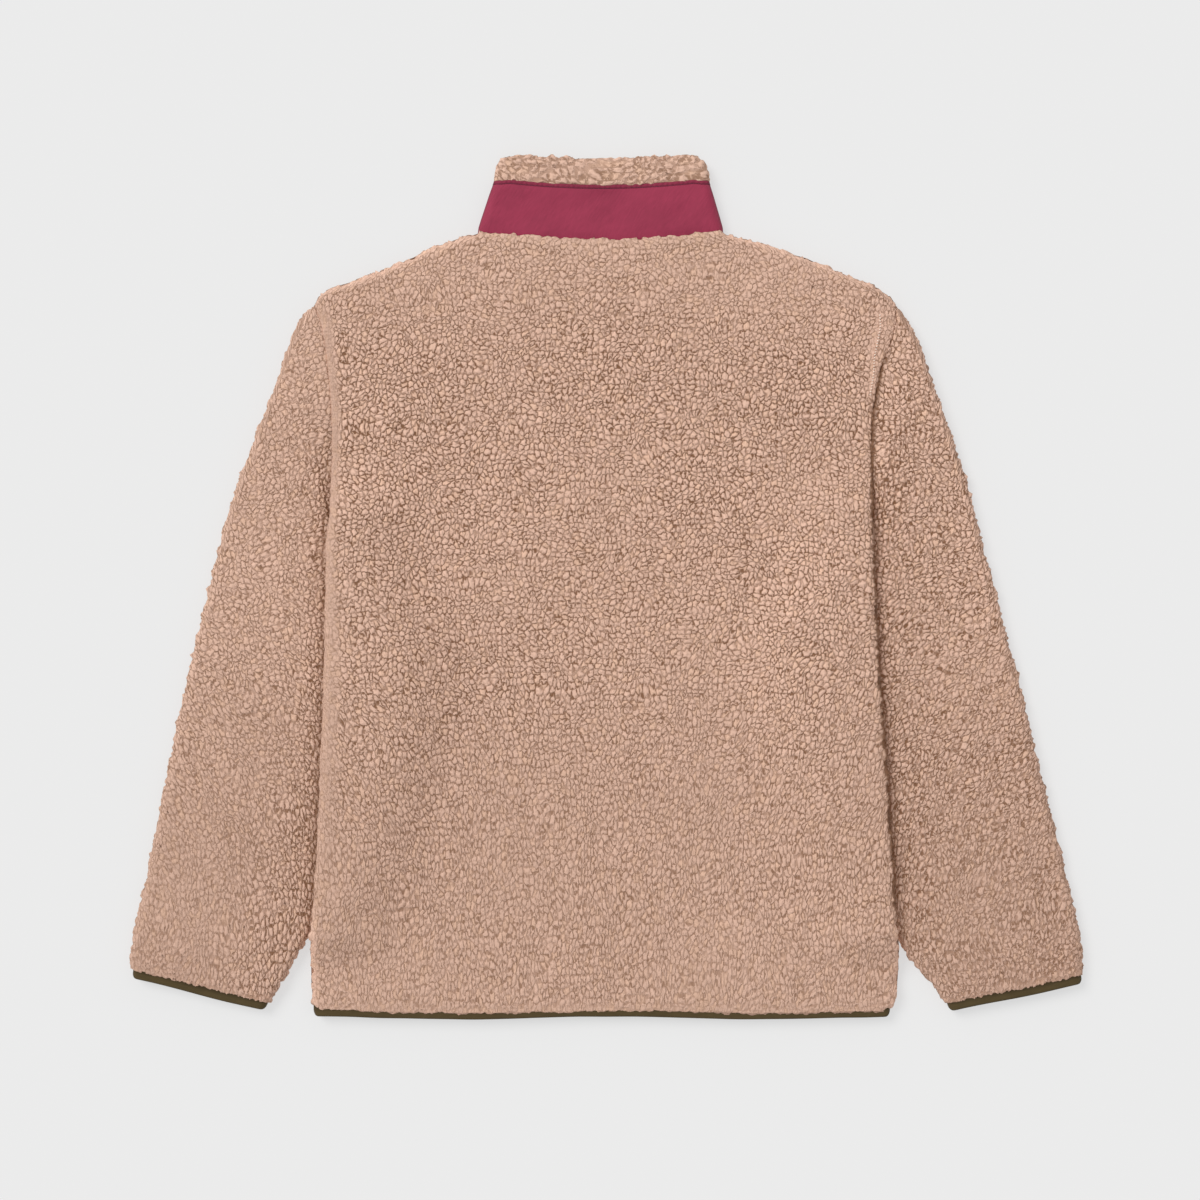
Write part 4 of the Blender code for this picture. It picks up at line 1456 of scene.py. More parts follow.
@dataclass
class Tube:
    """Rings round a flattened tube, from the inner fold under the tube and back over it.

    Each layer has as many columns as flat says and each fold as many as turn says.
    """

    flat: int
    turn: int

    def split(self, net: Numbers) -> List[Numbers]:
        """The lower layer, outer fold, upper layer and inner fold of a net of columns."""
        return np.split(net, np.cumsum([self.flat, self.turn, self.flat]), axis=1)

    @property
    def columns(self) -> int:
        """Columns of the whole ring."""
        return 2 * (self.flat + self.turn)

    def ring(self, width: Numbers, axis_inset: Numbers, radius: Numbers) -> Tuple[Numbers, Numbers]:
        """Places across each section, 0 at its outer end, and levels over the middle plane.

        Args:
            width: length of each section.
            axis_inset: distance of the folds' axes from the ends.
            radius: distance of the surface from the middle plane, rows by columns.

        Returns:
            Two nets.
        """
        reach = axis_inset / width
        flat = np.linspace(0, 1, self.flat)[None, :]
        angles = np.pi * np.arange(1, self.turn + 1)[None, :] / (self.turn + 1)
        low, outer, top, inner = self.split(radius)
        places = [1 - reach - (1 - 2 * reach) * flat, reach - outer * np.sin(angles) / width,
                  reach + (1 - 2 * reach) * flat, 1 - reach + inner * np.sin(angles) / width]
        levels = [-low, -outer * np.cos(angles), top, inner * np.cos(angles)]
        return np.concatenate(places, axis=1), np.concatenate(levels, axis=1)


@dataclass
class Sleeve:
    """A sleeve: a flattened tube of pile cloth from the armhole to the cuff.

    Attributes:
        stations: outer x, outer y, inner x and inner y of its sections.
        creases: place across, place down, lean, width and depth of its creases.
        gap_top: heights between which the painted shade in the gap beside the body ends.
        gap: that painted shade's reach and depth.
        crisp: how clear its curls are, and how much clearer they are beside the body.
        shade: how much darker its lower part is.
    """

    hand: Hand
    stations: Rows
    cuff: Cuff
    pile: Pile
    creases: Rows
    gap_top: Pair
    gap: Pair
    crisp: Pair
    shade: float
    underarm: float = 0.022
    under_body: float = 0.002
    sunk: Pair = (0.09, 0.15)
    shares: Tuple[float, ...] = (1.0, 0.8, 0.4, 0.15)
    second: float = 0.16
    spread: float = 0.008
    step: float = 0.00205
    tube: Tube = field(default_factory=lambda: Tube(103, 11))
    seam_edge: float = 0.78
    seam_reach: float = 0.0045
    hem_full: float = 0.0116
    hem_drop: Pair = (0.0074, 0.0082)
    hem_rows: float = 0.012
    inner_step: int = 12
    cuff_lines: Pairs = ((0.0136, 1.0), (0.0085, 0.8), (0.005, 0.25))

    @property
    def name(self) -> str:
        """The CAD node's name."""
        return "sleeve_" + self.hand.name.lower()

    def height(self, share: Numbers) -> Numbers:
        """Height of the armhole at shares of the way from the shoulder to the underarm."""
        return OUTLINE.tip_y + (self.underarm - OUTLINE.tip_y) * share

    def armhole(self, share: Numbers) -> Numbers:
        """The armhole, which goes under the body lower down.

        Args:
            share: shares of the way from the shoulder to the underarm.

        Returns:
            Points as seen from above.
        """
        y = self.height(share)
        out = OUTLINE.seam - self.under_body * fade(y, *self.sunk)
        return np.stack([OUTLINE.side_x(self.hand, y) + self.hand.value * out, y], axis=-1)

    @cached_property
    def sections(self) -> Tuple[Numbers, ...]:
        """Places down the sleeve.

        Returns:
            Starts and ends of the sections, how far each follows the armhole's curve, and its
            distances from the armhole and above the lower edge of the cuff binding.
        """
        top = self.armhole(np.array([0.0, 1.0]))
        knots = [top] + [np.array(row).reshape(2, 2) for row in self.stations]
        knots.insert(1, top + (knots[1] - top) * self.second)
        for height, share in (*self.cuff_lines, (OUTLINE.inset, 0.0)):
            knots.append(self.cuff.line(height, self.spread * share, self.spread * share))
        nodes = np.array(knots)
        gaps = np.linalg.norm(np.diff(nodes.mean(axis=1), axis=0), axis=1)
        lengths = np.concatenate([[0], np.cumsum(gaps)])
        total = lengths[-1]
        places = np.array(arc_insets(self.seam_reach, 4)
                          + graded(self.seam_reach, total - self.hem_rows, total, self.step))
        line = np.array([[Table(tuple(zip(lengths, nodes[:, end, axis])))(places)
                          for axis in (0, 1)] for end in (0, 1)])
        shares = list(self.shares) + [0.0] * (len(nodes) - len(self.shares))
        follow = Table(tuple(zip(lengths, shares)))(places)
        return (line[0].T, line[1].T, follow[:, None], places[:, None],
                (total - places + OUTLINE.inset)[:, None])

    def plan(self, place: Numbers) -> Numbers:
        """The sleeve as seen from above.

        Args:
            place: places across each section.

        Returns:
            Points of the plan.
        """
        starts, ends, follow = self.sections[:3]
        held = np.clip(place, 0, 1)
        tips = self.armhole(np.array([0.0, 1.0]))
        chord = tips[0] + (tips[1] - tips[0]) * held[..., None]
        bend = (self.armhole(held) - chord) * follow[..., None]
        return starts[:, None] + (ends - starts)[:, None] * place[..., None] + bend

    def build(self) -> Object:
        """Builds the sleeve.

        Returns:
            The finished piece.
        """
        starts, ends, _, down, up = self.sections
        width = np.linalg.norm(ends - starts, axis=-1)[:, None]
        columns = self.tube.columns
        across = np.arange(columns)[None, :] * 0.0021 + 0 * up
        share = self.tube.ring(width, 0.008 + 0 * up, 0 * across)[0][:1]
        edge = blend(1.0, self.seam_edge, ease(self.height(share), *self.sunk))
        radius = np.minimum(OUTLINE.outer * rounded(down, edge, self.seam_reach),
                            pile_end(up, self.hem_drop, self.hem_full, self.pile.seed + 40, across))
        axis = blend(OUTLINE.binding_outer, OUTLINE.outer, ease(up, 0.005, 0.0136))
        place, level = self.tube.ring(width, axis, radius)
        plan = self.plan(place)
        level = level + self.crown(plan, place, level)
        surface = Surface(raised_plan(plan, level), True, self.hand.value)
        face = self.face(surface, place, level)
        mesh = ClothMesh()
        fine = mesh.add_net(self.pile.dress(surface, face), face, True)
        hole = OUTLINE.gripped(OUTLINE.inner, up)
        place, level = self.tube.ring(width, axis, hole * np.ones((1, columns)))
        keep = list(range(0, columns, self.inner_step // 2))
        pick = np.ix_(every(len(starts), self.inner_step), keep)
        coarse = mesh.add_net(raised_plan(self.plan(place), level)[pick], wraps=True, turned=True)
        for item in (0, -1):
            mesh.add_rim(list(fine[item]), list(coarse[item]), keep, item == 0)
        piece = settle(mesh.finish(self.name + "_pile", PILE.material), [self.name])
        return piece

    def crown(self, plan: Numbers, place: Numbers, level: Numbers) -> Numbers:
        """Heights of the soft swell and the few creases, most of them in the upper layer.

        Args:
            plan: the rings as seen from above.
            place: place of each point across its section.
            level: height over the middle plane.

        Returns:
            Heights to add.
        """
        down, up = self.sections[3:]
        upper = ease(level, 0.0, 0.9 * OUTLINE.outer)
        ends = ease(down, 0.0, 0.03) * ease(up, 0.012, 0.05)
        swell = np.sin(np.pi * np.clip(place, 0, 1)) * 0.0024
        waves = Ripple(0.055, self.pile.seed + 21)
        swell = swell + 0.001 * waves(plan[..., 0] * 1.7, plan[..., 1] * 0.7)
        crease = 0 * place
        for across, along, lean, wide, depth in self.creases:
            line = place - across - (down - along) * lean
            crease = crease + depth * np.exp(-(line / wide) ** 2 - ((down - along) / 0.09) ** 2)
        under = (1 - upper) * np.maximum(crease, 0) * 0.6 * ease(-level, 0.004, 0.008)
        return ((swell - crease) * upper + under) * ends

    def face(self, surface: Surface, place: Numbers, level: Numbers) -> Face:
        """What the outer face is like.

        Args:
            surface: the outer face without curls.
            place: place of each point across its section.
            level: height over the middle plane.

        Returns:
            The face: curls are deepest beside the body and softest near the cuff.
        """
        down, up = self.sections[3:]
        x, y = surface.points[..., 0], surface.points[..., 1]
        patches = Ripple(0.08, self.pile.seed + 1)(x, y)
        crisp = self.crisp[0] - 0.22 * ease(down, 0.25, 0.52)
        crisp = crisp + self.crisp[1] * ease(place, 0.45, 0.95) + 0.12 * patches
        crisp = crisp * (0.4 + 0.6 * ease(up, 0.006, 0.018))
        still = np.where(up < 0.0046, 0.7, 0.0) + 0 * crisp
        still[0] = 0.6
        first = self.tube.flat + self.tube.turn
        last = first + self.tube.flat - 1
        plan = surface.points[..., :2].copy()
        way = unit(plan[:, last] - plan[:, first])
        fold = unit(plan[-1, first] - plan[0, first])
        low = self.tube.flat
        turned = 2 * (plan[:, :low] @ fold)[..., None] * fold - plan[:, :low]
        mirrored = way - 2 * (way @ fold)[:, None] * fold
        for edge, beyond, turn in ((first, slice(0, first), mirrored),
                                   (last, slice(last + 1, None), way)):
            plan[:, beyond] = (plan[:, edge:edge + 1]
                               + turn[:, None] * surface.arc(1, edge)[:, beyond, None])
        shift = (plan[:, low - 1] - turned[:, -1])[:, None]
        held = fade(-surface.arc(1, low - 1)[:, :low], 0.0, 0.1)
        plan[:, :low] = turned + blend(shift.mean(axis=0), shift, held[..., None])
        cloth = drawn_out(plan[..., 0], plan[..., 1], y, (-0.34, 0.05), self.pile.seed)
        fringe = fade(np.abs(level), 0.0, 0.006) * ease(up, 0.006, 0.012)
        gap = np.abs(x - OUTLINE.side_x(self.hand, y))
        beside = between(y, (-0.34, -0.26, *self.gap_top))
        # Painted shade: a band of shade in the gap beside the body, on the upper layer only, and
        # deeper crack shade near the body.
        mark = self.gap[1] * np.exp(-(gap / self.gap[0]) ** 2) * beside * ease(level, 0.0, 0.004)
        mark = mark + self.shade * ease(-y, -0.05, 0.3)
        crisp = crisp + 0.35 * np.exp(-gap / 0.018) * beside
        return Face(cloth, np.clip(crisp, 0, 1.35), mark, still, fringe)


LEFT_SLEEVE = Sleeve(
    Hand.LEFT,
    ((-0.286, 0.241, -0.25, 0.005), (-0.297, 0.21, -0.237, -0.008),
     (-0.309, 0.177, -0.223, -0.024), (-0.323, 0.141, -0.211, -0.045),
     (-0.339, 0.098, -0.205, -0.07), (-0.3545, 0.048, -0.2045, -0.1),
     (-0.3725, -0.025, -0.209, -0.135), (-0.389, -0.094, -0.2175, -0.172),
     (-0.404, -0.165, -0.2285, -0.212), (-0.416, -0.225, -0.2425, -0.255),
     (-0.4265, -0.278, -0.2605, -0.296), (-0.4375, -0.327, -0.284, -0.339)),
    Cuff((-0.4348, -0.362), (-0.3185, -0.3905), (0.0037, 0.0045)), Pile(4),
    ((0.75, 0.1, -1.2, 0.09, 0.0013), (0.45, 0.3, 0.8, 0.12, 0.0009),
     (0.6, 0.45, -0.6, 0.1, 0.0008)),
    gap_top=(0.09, 0.19), gap=(0.007, 0.6), crisp=(0.8, 0.45), shade=0.24)
RIGHT_SLEEVE = Sleeve(
    Hand.RIGHT,
    ((0.283, 0.236, 0.2385, 0.005), (0.294, 0.208, 0.2255, -0.008),
     (0.304, 0.18, 0.212, -0.024), (0.317, 0.143, 0.2005, -0.045),
     (0.3325, 0.095, 0.195, -0.07), (0.3475, 0.038, 0.195, -0.1),
     (0.3665, -0.035, 0.1995, -0.136), (0.3835, -0.1, 0.2085, -0.175),
     (0.3995, -0.168, 0.22, -0.216), (0.414, -0.225, 0.2345, -0.259),
     (0.427, -0.279, 0.2535, -0.299), (0.438, -0.329, 0.276, -0.338)),
    Cuff((0.4343, -0.3675), (0.3205, -0.3915), (0.0054, 0.0048)), Pile(5),
    ((0.7, 0.14, -1.0, 0.1, 0.0012), (0.5, 0.34, 0.7, 0.13, 0.001),
     (0.72, 0.42, 0.3, 0.09, 0.0009)),
    gap_top=(0.19, 0.24), gap=(0.0032, 1.3), crisp=(1.02, 0.2), shade=0.31)


# ---- Bindings: a strip of woven cloth folded round the edge of the pile ----

@dataclass(frozen=True)
class FoldedStrip:
    """Section of a binding: heights over its lower edge and distances from the middle plane."""

    width: float = 0.0095
    near: float = 0.0005
    far: float = 0.0071
    wall: float = 0.0011
    round_far: float = 0.0026
    round_near: float = 0.0012

    def face(self, inset: float) -> List[Pair]:
        """One face, from the outer top edge, round the fold, to the inner top edge.

        Args:
            inset: how far it lies under the outer face.

        Returns:
            Pairs of a height and a distance.
        """
        far, near, low = self.far - inset, self.near + inset, inset
        points = [(self.width, far - 0.0001), (0.0075, far), (0.005, far)]
        for radius, way, start in ((self.round_far, 1, far), (self.round_near, -1, near)):
            corner = max(radius - inset, 0.0003)
            arc = [(low + corner * (1 - math.sin(angle)), start - way * corner
                    * (1 - math.cos(angle))) for angle in np.linspace(0, math.pi / 2, 5)]
            points += arc if way > 0 else arc[::-1]
        return points + [(0.005, near), (0.0075, near), (self.width, near)]

    def loop(self) -> Numbers:
        """The closed section, its outer face first."""
        return np.array(self.face(0.0) + self.face(self.wall)[::-1])


STRIP = FoldedStrip()


def corner_rise(inset: Numbers, radius: float) -> Numbers:
    """How far a lower edge is raised near its end, where it turns up in a round corner."""
    left = np.clip(radius - inset, 0.0, radius)
    return radius - np.sqrt(radius * radius - left * left)


def strip_face(surface: Surface, start: float = 0.0) -> Face:
    """The face of a binding, with painted shade beside the pile and at its turned edge.

    Args:
        surface: the strip, rows along it by columns round its section.
        start: where its cloth starts.

    Returns:
        The face.
    """
    across = surface.arc(1, 3)
    heights = STRIP.loop()[:, 0][None, :] + 0 * across
    # Painted shade under the overhanging pile and round the turned lower edge.
    mark = 0.55 * ease(heights, 0.0042, 0.0075) + 0.18 * fade(heights, 0.0, 0.0012)
    return Face.woven(np.stack([across, surface.arc(0, 0) + start], -1), mark)


@dataclass
class CuffBinding:
    """The binding round a cuff."""

    sleeve: Sleeve
    corner: float = 0.005
    tube: Tube = field(default_factory=lambda: Tube(46, 7))

    def build(self) -> Object:
        """Builds the binding.

        Returns:
            The finished piece.
        """
        loop = STRIP.loop()
        cuff = self.sleeve.cuff
        low = cuff.line(0.0, *cuff.beyond)
        width = np.linalg.norm(low[1] - low[0]) * np.ones((len(loop), 1))
        place, level = self.tube.ring(width, STRIP.far + 0 * width,
                                      loop[:, 1:] * np.ones((1, self.tube.columns)))
        inset = np.minimum(place, 1 - place) * width
        sag = 0.0005 * np.sin(place * 7.0 + 1.0 + self.sleeve.hand.value)
        rise = loop[:, :1] + corner_rise(inset, self.corner) + sag
        plan = low[0] + (low[1] - low[0]) * place[..., None] + cuff.up() * rise[..., None]
        points = raised_plan(plan, level).transpose(1, 0, 2)
        mesh = ClothMesh()
        face = strip_face(Surface(points, True), 0.4).closed()
        ring = mesh.add_net(np.concatenate([points, points[:1]]), face, True)
        # the net closes both ways, so its last row is its first
        weld = {int(last): int(first) for first, last in zip(ring[0], ring[-1])}
        mesh.triangles[-1] = np.vectorize(lambda item: weld.get(item, item))(mesh.triangles[-1])
        name = "cuff_binding_" + self.sleeve.hand.name.lower()
        piece = settle(mesh.finish(name + "_cloth", BINDING.material), [name])
        return piece


# ---- Sweeps round the body: hem binding, collar and band ----

@dataclass
class Stops:
    """Places round the flat body, from the left front edge over the back to the right front edge.

    Attributes:
        layer: -1 front, 0 a fold and 1 back.
        place: -1 at the left fold to 1 at the right fold.
        angle: of a fold, from front to back.
    """

    layer: Numbers
    place: Numbers
    angle: Numbers

    @classmethod
    def round_body(cls, half: float, radius: float, edges: Pair,
                   steps: Pair, turn: int) -> "Stops":
        """Makes the stops.

        Args:
            half: half width between the folds' outer sides.
            radius: radius of the folds.
            edges: distances of the left and right front edge from the middle.
            steps: distances between neighbours in front and behind.
            turn: stops of a fold.

        Returns:
            The stops as columns.
        """
        fold = 1 - radius / half
        rows = []
        for hand in (-1, 1):
            front = spread(edges[0 if hand < 0 else 1] / half, fold, steps[0] / half)[:-1]
            rows.append([(-1, hand * place, 0.0) for place in front])
            rows[-1] += [(0, hand * fold, -math.pi / 2 + math.pi * item / turn)
                         for item in range(turn + 1)]
        back = [(1, place, 0.0) for place in spread(-fold, fold, steps[1] / half)[1:-1]]
        table = np.array(rows[0] + back + rows[1][::-1])
        return cls(*(table[:, item:item + 1] for item in range(3)))

    def level(self, distance: Numbers) -> Numbers:
        """Height above the ground of points at distances from the middle plane."""
        way = np.where(self.layer == 0, np.sin(self.angle), self.layer)
        return OUTLINE.outer + way * distance

    def shift(self, distance: Numbers) -> Numbers:
        """How far points of the folds stand out sideways."""
        turned = distance * np.cos(self.angle) * np.sign(self.place)
        return np.where(self.layer == 0, turned, 0.0)

    def front(self) -> Numbers:
        """0 behind, 1 in front and shares between them round the folds."""
        return np.where(self.layer == 0, fade(self.angle, -0.7, 0.3), self.layer < 0)


@dataclass
class HemBinding:
    """The binding round the hem, from one front edge to the other."""

    corner: float = 0.0045
    beyond: Pair = (0.003, 0.0024)
    step: float = 0.0034

    def build(self) -> Object:
        """Builds the binding.

        Returns:
            The finished piece.
        """
        left, right = OUTLINE.hem_ends[0] - self.beyond[0], OUTLINE.hem_ends[1] + self.beyond[1]
        middle, half = (left + right) / 2, (right - left) / 2
        gaps = (middle - OUTLINE.centre_x + OUTLINE.front_edge,
                OUTLINE.centre_x + OUTLINE.front_edge - middle)
        stops = Stops.round_body(half, STRIP.far, gaps, (self.step * 1.3, self.step), 9)
        heights, distances = STRIP.loop().T[:, None]
        x = middle + half * stops.place + stops.shift(distances)
        inset = np.minimum(x - left, right - x)
        y = OUTLINE.hem(x) + heights + corner_rise(inset, self.corner)
        y = y + 0.0003 * Ripple(0.03, 61)(x, 0 * x)
        points = np.stack([x, y, stops.level(distances) + 0 * x], axis=-1)
        mesh = ClothMesh()
        mesh.add_strip(points, strip_face(Surface(points, True)))
        made = mesh.finish("hem_binding_cloth", BINDING.material)
        piece = settle(made, ["hem_binding"])
        return piece


@dataclass
class Collar:
    """The standing collar: a pile wall and the woven band outside it, by shares of its height."""

    pile: Pile = field(default_factory=lambda: Pile(
        6, rise=0.0005, sink=0.0007, snap=0.0012, dome=0.0012, tuft=0.002))
    top_y: float = 0.4001
    top_dip: float = 0.0055
    top_lean: float = 0.045
    top_half: float = 0.0975
    top_x: float = -0.0045
    taper: Pair = (0.2, 0.4)
    stitch_share: float = 0.627
    placket: Pair = (0.015, 0.019)
    corner: float = 0.003
    narrowing: Pairs = (
        (0.0, 0.0), (0.5, 0.71), (0.672, 0.96), (0.85, 1.1), (1.0, 1.36),
    )
    outer: Pairs = (
        (0.0, 0.0066), (0.672, 0.0068), (0.678, 0.0083), (0.7, 0.0092), (0.74, 0.0094),
        (0.86, 0.0091), (0.92, 0.0085), (0.96, 0.007), (0.985, 0.0054), (1.0, 0.0036),
    )
    band: Pairs = (
        (0.0, 0.00705), (0.03, 0.0074), (0.08, 0.0081), (0.2, 0.0083), (0.5, 0.0083),
        (0.617, 0.0083), (0.627, 0.00795), (0.637, 0.0085), (0.667, 0.0084), (0.672, 0.0079),
    )

    def stops(self, steps: Pair) -> Stops:
        """Stops round the collar."""
        edges = (OUTLINE.front_edge, OUTLINE.front_edge)
        return Stops.round_body(OUTLINE.neck_half, OUTLINE.outer, edges, steps, 12)

    def points(self, stops: Stops, share: Numbers, distance: Numbers) -> Numbers:
        """Points of the collar.

        Args:
            stops: places round it.
            share: heights as shares from the neck seam to the top.
            distance: distances from the middle plane.

        Returns:
            A net of points.
        """
        across = np.abs(stops.place)
        dip = 1 - across ** 2
        shift = stops.shift(distance)
        base = OUTLINE.centre_x + OUTLINE.neck_half * stops.place + shift
        top = self.top_x + self.top_half * stops.place + shift
        taper = np.where(stops.layer < 0, ease(across, *self.taper), 1.0)
        top = blend(base, top, taper)
        front = stops.front()
        low = blend(OUTLINE.neck(base, OUTLINE.back_drop), OUTLINE.neck(base, OUTLINE.front_drop),
                    front) + OUTLINE.seam
        high = self.top_y - blend(self.top_dip, self.top_lean, front) * dip
        high = high - self.corner * ease(across, 0.84, 0.96)
        x = blend(base, top, Table(self.narrowing)(share))
        return np.stack([x, blend(low, high, share), stops.level(distance) + 0 * x], axis=-1)

    def build_pile(self) -> Object:
        """Builds the pile wall.

        Returns:
            The finished piece.
        """
        stops = self.stops((0.0032, 0.0019))
        shares = [0.0, 0.12] + spread(0.24, 0.64, 0.03) + [0.66, 0.672, 0.678, 0.688]
        shares += spread(0.702, 0.92, 0.021) + [0.94, 0.958, 0.974, 0.988]
        shares = np.array(shares + [1.0])
        near_zip = np.abs(stops.place) * OUTLINE.neck_half - OUTLINE.front_edge
        inner = blend(OUTLINE.placket_inner, OUTLINE.inner, ease(near_zip, *self.placket))
        inner = np.where(stops.layer < 0, inner, OUTLINE.inner)
        heights = np.concatenate([shares, shares[::-1]])[None, :]
        outer = Table(self.outer)(shares)[None, :]
        distance = np.concatenate([outer + 0 * stops.place, inner + 0 * outer], axis=1)
        points = self.points(stops, heights, distance)
        count = len(shares)
        showing = np.zeros((1, 2 * count))
        showing[0, :count] = ease(shares, 0.671, 0.69)
        showing[0, count:] = ease(shares[::-1], 0.2, 0.3)
        showing = showing + 0 * stops.place
        surface = Surface(points, True, -1)
        arc = surface.arc(1, 0) * 0.75 + 0.006 * Ripple(0.05, 66)(points[..., 0], points[..., 2])
        cloth = bent(surface.arc(0, len(stops.place) // 2) * 0.6, arc, self.pile.seed)
        hangs = between(heights, (0.66, 0.68, 0.7, 0.74))
        hangs[:, count:] = 0.0
        points[..., 1] += (1.5 * ragged(points[..., 0], 68) - 0.0006) * hangs
        swell = Ripple(0.013, 67)(points[..., 0] * 0.8, points[..., 1] * 1.3) * 0.0008 * showing
        points[..., 2] += swell * np.where(stops.layer < 0, 0.0, 1.0)
        face = Face(cloth, showing * 0.76, -0.06 * showing, 1 - showing,
                    showing * ease(heights, 0.93, 0.99))
        face.still[:, count - 1:count + 1] = 0.2
        mesh = ClothMesh()
        mesh.add_strip(self.pile.dress(surface, face), face)
        made = mesh.finish("collar_pile_cloth", PILE.material)
        piece = settle(made, ["collar_pile"])
        return piece

    def build_band(self) -> Object:
        """Builds the woven band, with low wrinkles and a stitched top edge.

        Returns:
            The finished piece.
        """
        stops = self.stops((0.0036, 0.0024))
        shares = np.array([0.0, 0.015, 0.03, 0.055] + spread(0.08, 0.6, 0.033)
                          + [0.612, 0.621, 0.625, 0.629, 0.633, 0.642, 0.652, 0.662, 0.668, 0.672])
        outer = Table(self.band)(shares)[None, :]
        inner = np.minimum(0.0069, outer - 0.0003)
        heights = np.concatenate([shares, shares[::-1]])[None, :]
        distance = np.concatenate([outer, inner[:, ::-1]], axis=1) + 0 * stops.place
        points = self.points(stops, heights, distance)
        surface = Surface(points, True, -1)
        count = len(shares)
        x, y = points[..., 0], points[..., 1]
        wrinkle = (0.0007 * Ripple(0.02, 71)(x * 0.5, y + 0.2 * x)
                   + 0.0004 * Ripple(0.009, 72)(x * 0.5, y - 0.3 * x)
                   + 0.0005 * Ripple(0.06, 73)(x * 0.7, y))
        wrinkle = wrinkle * ease(heights, 0.02, 0.15) * (1 - 0.8 * ease(heights, 0.56, 0.61))
        wrinkle[:, count:] = 0.0
        away = np.where(stops.layer < 0, -0.5, 1.0)
        points[..., 2] += wrinkle * away
        points[..., 2] = np.maximum(points[..., 2], 0.0004)
        ticks = 0.5 + 0.5 * np.sin(surface.arc(0, 0) * 2 * math.pi / 0.0048)
        ribbed = between(heights, (0.629, 0.634, 0.66, 0.666))
        # Painted shade: in the stitch groove, at the top edge under the overhanging collar pile and
        # where the band turns sideways round its folds.
        mark = (0.22 + 0.5 * ticks) * ribbed + 0.9 * ease(heights, 0.665, 0.671)
        mark = mark + 0.7 * (stops.layer == 0) * fade(np.abs(stops.angle), 0.35, 0.7)
        mark = mark + 0.75 * np.exp(-((heights - 0.627) / 0.0032) ** 2)
        cloth = np.stack([surface.arc(0, 0), surface.arc(1, 0)], axis=-1)
        mesh = ClothMesh()
        mesh.add_strip(points, Face.woven(cloth, np.clip(mark, 0, 0.9)))
        made = mesh.finish("collar_band_cloth", BAND.material)
        piece = settle(made, ["collar_band"])
        thread = ThreadFinish("band_thread", (0.165, 0.022, 0.05)).material
        stitches = StitchRow("band_stitches").build(self.stitch_line(), thread, "band_cloth")
        return piece

    def stitch_line(self) -> Numbers:
        """Places of the band's topstitches, from one front edge to the other."""
        share, distance = np.array([[self.stitch_share]]), np.array([[0.0081]])
        return self.points(self.stops((0.0026, 0.0026)), share, distance)[2:-2, 0]


# ---- Stitches and the zip ----

def add_block(size: Sequence[float], place: Sequence[float] = (0.0, 0.0, 0.0)) -> None:
    """Adds a block.

    Args:
        size: its size.
        place: its middle.
    """
    bpy.ops.object.select_all(action="DESELECT")
    bpy.ops.mesh.primitive_cube_add(size=1, scale=size, location=place)
    bpy.ops.object.transform_apply(location=True, rotation=False, scale=True)


def cut_across(x: float) -> None:
    """Cuts the active object across and selects the cut, in edit mode.

    Args:
        x: the cut's place.
    """
    bpy.ops.object.mode_set(mode="EDIT")
    bpy.ops.mesh.select_all(action="SELECT")
    bpy.ops.mesh.bisect(plane_co=(x, 0, 0), plane_no=(1, 0, 0))


def shape_taken() -> Shape:
    """Takes the points and faces of the active object and removes it.

    Returns:
        Both.
    """
    made = bpy.context.object
    points = np.array([made.matrix_world @ vertex.co for vertex in made.data.vertices])
    faces = [list(face.vertices) for face in made.data.polygons]
    bpy.data.objects.remove(made)
    return points, faces


def plain_object(name: str, shapes: Sequence[Shape], material: Material) -> Object:
    """Makes an object of many small shapes.

    Args:
        name: the piece's name.
        shapes: their points and faces.
        material: its material.

    Returns:
        The object.
    """
    points, faces = [], []
    for places, loops in shapes:
        start = len(points)
        points += places.tolist()
        faces += [[start + item for item in loop] for loop in loops]
    mesh = bpy.data.meshes.new(name)
    mesh.from_pydata(points, [], faces)
    return finished(mesh, material)


@dataclass
class StitchRow:
    """A row of stitches along a line, whose middles lie a sink over the cloth."""

    name: str
    length: float = 0.0018
    width: float = 0.00055
    sink: float = 0.0002

    def stitch(self) -> Shape:
        """Models one stitch: a short rounded thread whose ends go down into the cloth.

        Returns:
            Its points and faces.
        """
        add_block((self.length * 1.25, self.width * 1.2, self.width * 1.2))
        cut_across(0.0)
        bpy.ops.transform.translate(value=(0, 0, self.width * 0.5))
        bpy.ops.object.mode_set(mode="OBJECT")
        smooth = bpy.context.object.modifiers.new("round", "SUBSURF")
        smooth.levels = smooth.render_levels = 1
        bpy.ops.object.modifier_apply(modifier=smooth.name)
        return shape_taken()

    def build(self, line: Numbers, material: Material, slot: str) -> Object:
        """Builds the row.

        Args:
            line: places of the stitches.
            material: the thread's material.
            slot: a material slot's name; not used.

        Returns:
            The finished piece.
        """
        shape, faces = self.stitch()
        along = unit(np.gradient(line, axis=0))
        lying = np.array([0.0, 0.0, 1.0])
        side = unit(np.cross(lying, along))
        normal = np.cross(along, side)
        points = (line[:, None] + along[:, None] * shape[None, :, :1]
                  + side[:, None] * shape[None, :, 1:2]
                  + normal[:, None] * (shape[None, :, 2:] + self.sink))
        stitches = [(stitch, faces) for stitch in points]
        return settle(plain_object(self.name, stitches, material), ())


